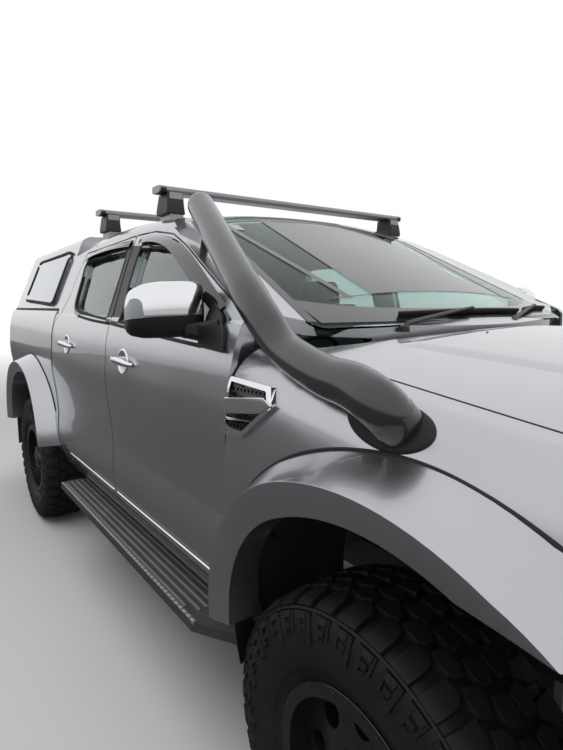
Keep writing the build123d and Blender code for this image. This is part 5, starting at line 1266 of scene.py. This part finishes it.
def front_details():
    """Lamp bowls and light strips, grille wires, fog lamps, washer jets and a bare plate."""
    lamp, mesh, bumper = (partial(facing, tree_of(n), 1) for n in ("headlamps", "grille_mesh", "front_bumper"))
    bowls, bezels, lenses, strips = [], [], [], []
    for sign in (1, -1):
        for y, z, r in ((0.548, 1.088, 0.044), (0.655, 1.092, 0.042), (0.752, 1.096, 0.030)):
            at = Vector((lamp(sign * y, z)[0].x - 0.046, sign * y, z))
            bowls.append(turned([(r * s, w) for s, w in BOWL], 36, at, "x"))
            lenses.append(turned([(r * s, w) for s, w in LENS], 28, at, "x"))
        for z, y0, y1 in ((1.030, 0.480, 0.790), (1.142, 0.500, 0.800)):
            path = [lamp(sign * y, z)[0] - FORWARD * 0.016 for y in spread(y0, y1, 16)]
            strips.append(sweep(path, flat_bar(0.008, 0.006, -0.003), FORWARD))
        rows = [[lamp(sign * y, z)[0] - FORWARD * 0.052 for y in spread(0.475, 0.800, 14)]
                for z in spread(1.026, 1.148, 6)]
        bezels.append(sheet(rows, 0.003, FORWARD))
    piece("headlamp_bowls", joined(bowls), "vehicle", "chrome", sharp=50)
    piece("headlamp_projectors", joined(lenses), "vehicle", "lens_white", sharp=60)
    piece("headlamp_strips", joined(strips), "vehicle", "lens_white", bevel=0.0008)
    piece("headlamp_bezels", joined(bezels), "vehicle", "gloss", bevel=0.001)
    wires = [sweep([mesh(y, 0.906 + 0.018 * k, 0.0015)[0] for y in spread(-0.415, 0.415, 24)], ring(0.0028, 6), UP)
             for k in range(15)]
    wires += [sweep([mesh(-0.405 + 0.027 * k, z, 0.0022)[0] for z in spread(0.902, 1.160, 6)],
                    ring(0.0026, 6), ACROSS) for k in range(31)]
    piece("grille_wires", joined(wires), "vehicle", "satin", sharp=60)
    rims, glass = [], []
    for sign in (1, -1):
        at = Vector((bumper(sign * 0.665, 0.745)[0].x - 0.030, sign * 0.590, 0.745))
        rims.append(turned([(0.043, -0.030), (0.057, -0.028), (0.0572, 0.004), (0.053, 0.010), (0.047, 0.008),
                            (0.043, -0.004), (0.043, -0.030)], 44, at, "x"))
        rims.append(turned([(0.0, -0.030), (0.020, -0.028), (0.038, -0.016), (0.043, -0.006), (0.044, -0.030),
                            (0.0, -0.034)], 36, at, "x"))
        glass.append(turned([(0.0, 0.006), (0.018, 0.0050), (0.034, 0.0018), (0.0435, -0.003), (0.0435, -0.007),
                             (0.0, -0.003)], 40, at, "x"))
    piece("fog_lamp_rims", joined(rims), "vehicle", "chrome", sharp=40)
    piece("fog_lamp_glass", joined(glass), "vehicle", "lamp_clear", sharp=60)
    blank_plate("front_plate", bumper(0.0, 0.850)[0].x - 0.022, 0.704, 0.796, 1)
    jets = [turned([(0.0, 0.006), (0.005, 0.0056), (0.009, 0.003), (0.011, -0.001)], 20,
                   BONNET.ray_cast(Vector((1.62, y, 2.2)), -UP)[0], "z") for y in (-0.26, 0.26)]
    piece("washer_jets", joined(jets), "bonnet", "satin")


def rear_details():
    """Lamp lenses, tailgate pull, bumper pads, canopy latch, stop lamp and a bare plate."""
    lamp, latch, cover = (partial(facing, tree_of(n), -1) for n in ("tail_lamps", "canopy_door", "canopy"))
    lo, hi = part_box("tail_lamps")
    height = hi.z - lo.z
    white, ribs = [], []
    for sign in (1, -1):
        ys = [sign * y for y in spread(0.752, 0.828, 7)]
        rows = [[(y, z, 0.0028) for y in ys] for z in spread(lo.z + 0.42 * height, lo.z + 0.56 * height, 5)]
        white.append(sheet_on(lamp, rows, 0.0025))
        ribs += [sweep([lamp(y, lo.z + t * height, 0.0008)[0] for y in ys], ring(0.0022, 8), FORWARD)
                 for t in (0.14, 0.22, 0.30, 0.68, 0.76, 0.84)]
    piece("reversing_lenses", joined(white), "vehicle", "lens_white", bevel=0.0008)
    piece("tail_lamp_ribs", joined(ribs), "vehicle", "lamp_red", sharp=60)
    path = smooth_line([(-2.5065, -0.094, 1.372), (-2.522, -0.080, 1.374), (-2.5275, -0.040, 1.375),
                        (-2.5275, 0.040, 1.375), (-2.522, 0.080, 1.374), (-2.5065, 0.094, 1.372)], 40)
    piece("tailgate_pull", sweep(path, ring(0.0085, 16, 0.62, 1.9), FORWARD), "tailgate", "satin", sharp=60)
    start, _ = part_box("rear_bumper")
    pads = []
    for sign in (1, -1):
        for k in range(7):
            ends = [Vector((start.x + 0.020 + 0.0135 * k, sign * y, 0.8805)) for y in (0.372, 0.800)]
            pads.append(sweep(ends, ridge(0.0050, 0.0042, -0.001, 0.0030), UP))
    piece("bumper_treads", joined(pads), "vehicle", "rubber", bevel=0.0006)
    blank_plate("rear_plate", -2.5975, 0.804, 0.878, -1)
    at, n = latch(0.0, 1.545)
    rose = turned([(0.0, 0.012), (0.014, 0.011), (0.024, 0.006), (0.027, 0.0)], 28, axis="x")
    line = smooth_line([(0.010, -0.042, 0.0), (0.018, -0.020, 0.001), (0.020, 0, 0.002), (0.018, 0.020, 0.001),
                        (0.010, 0.042, 0.0)], 24)
    lever = sweep(line, ring(0.0065, 14, 0.7, 1.5), FORWARD)
    spin = Matrix.Translation(at) @ FORWARD.rotation_difference(n).to_matrix().to_4x4()
    piece("canopy_latch", moved(joined([rose, lever]), spin), "canopy_door", "satin", sharp=50)
    rows = [[(y, z, 0.006) for y in spread(-0.150, 0.150, 13)] for z in spread(1.914, 1.926, 3)]
    piece("stop_lamp", sheet_on(cover, rows, 0.0057), "vehicle", "lamp_red", bevel=0.0015)


camera()
sky()
floor()
area("key", (1.2, -2.4, 5.6), (0.4, 0, 0.9), (5.5, 4.0), 150)
area("fill", (-2.5, 3.5, 5.2), (0, 0, 0.8), (5.5, 4.5), 110)
for dress in (dress_solids, wheels, mirrors, handles, window_trim, vents, snorkel, screen_trim, roof_bar_trim,
              step_trim, arch_trim, canopy_trim, bonnet_bulge, fuel_flap, roof_lines, door_cards, front_details,
              rear_details):
    dress()

bpy.context.scene.view_settings.view_transform = "Standard"
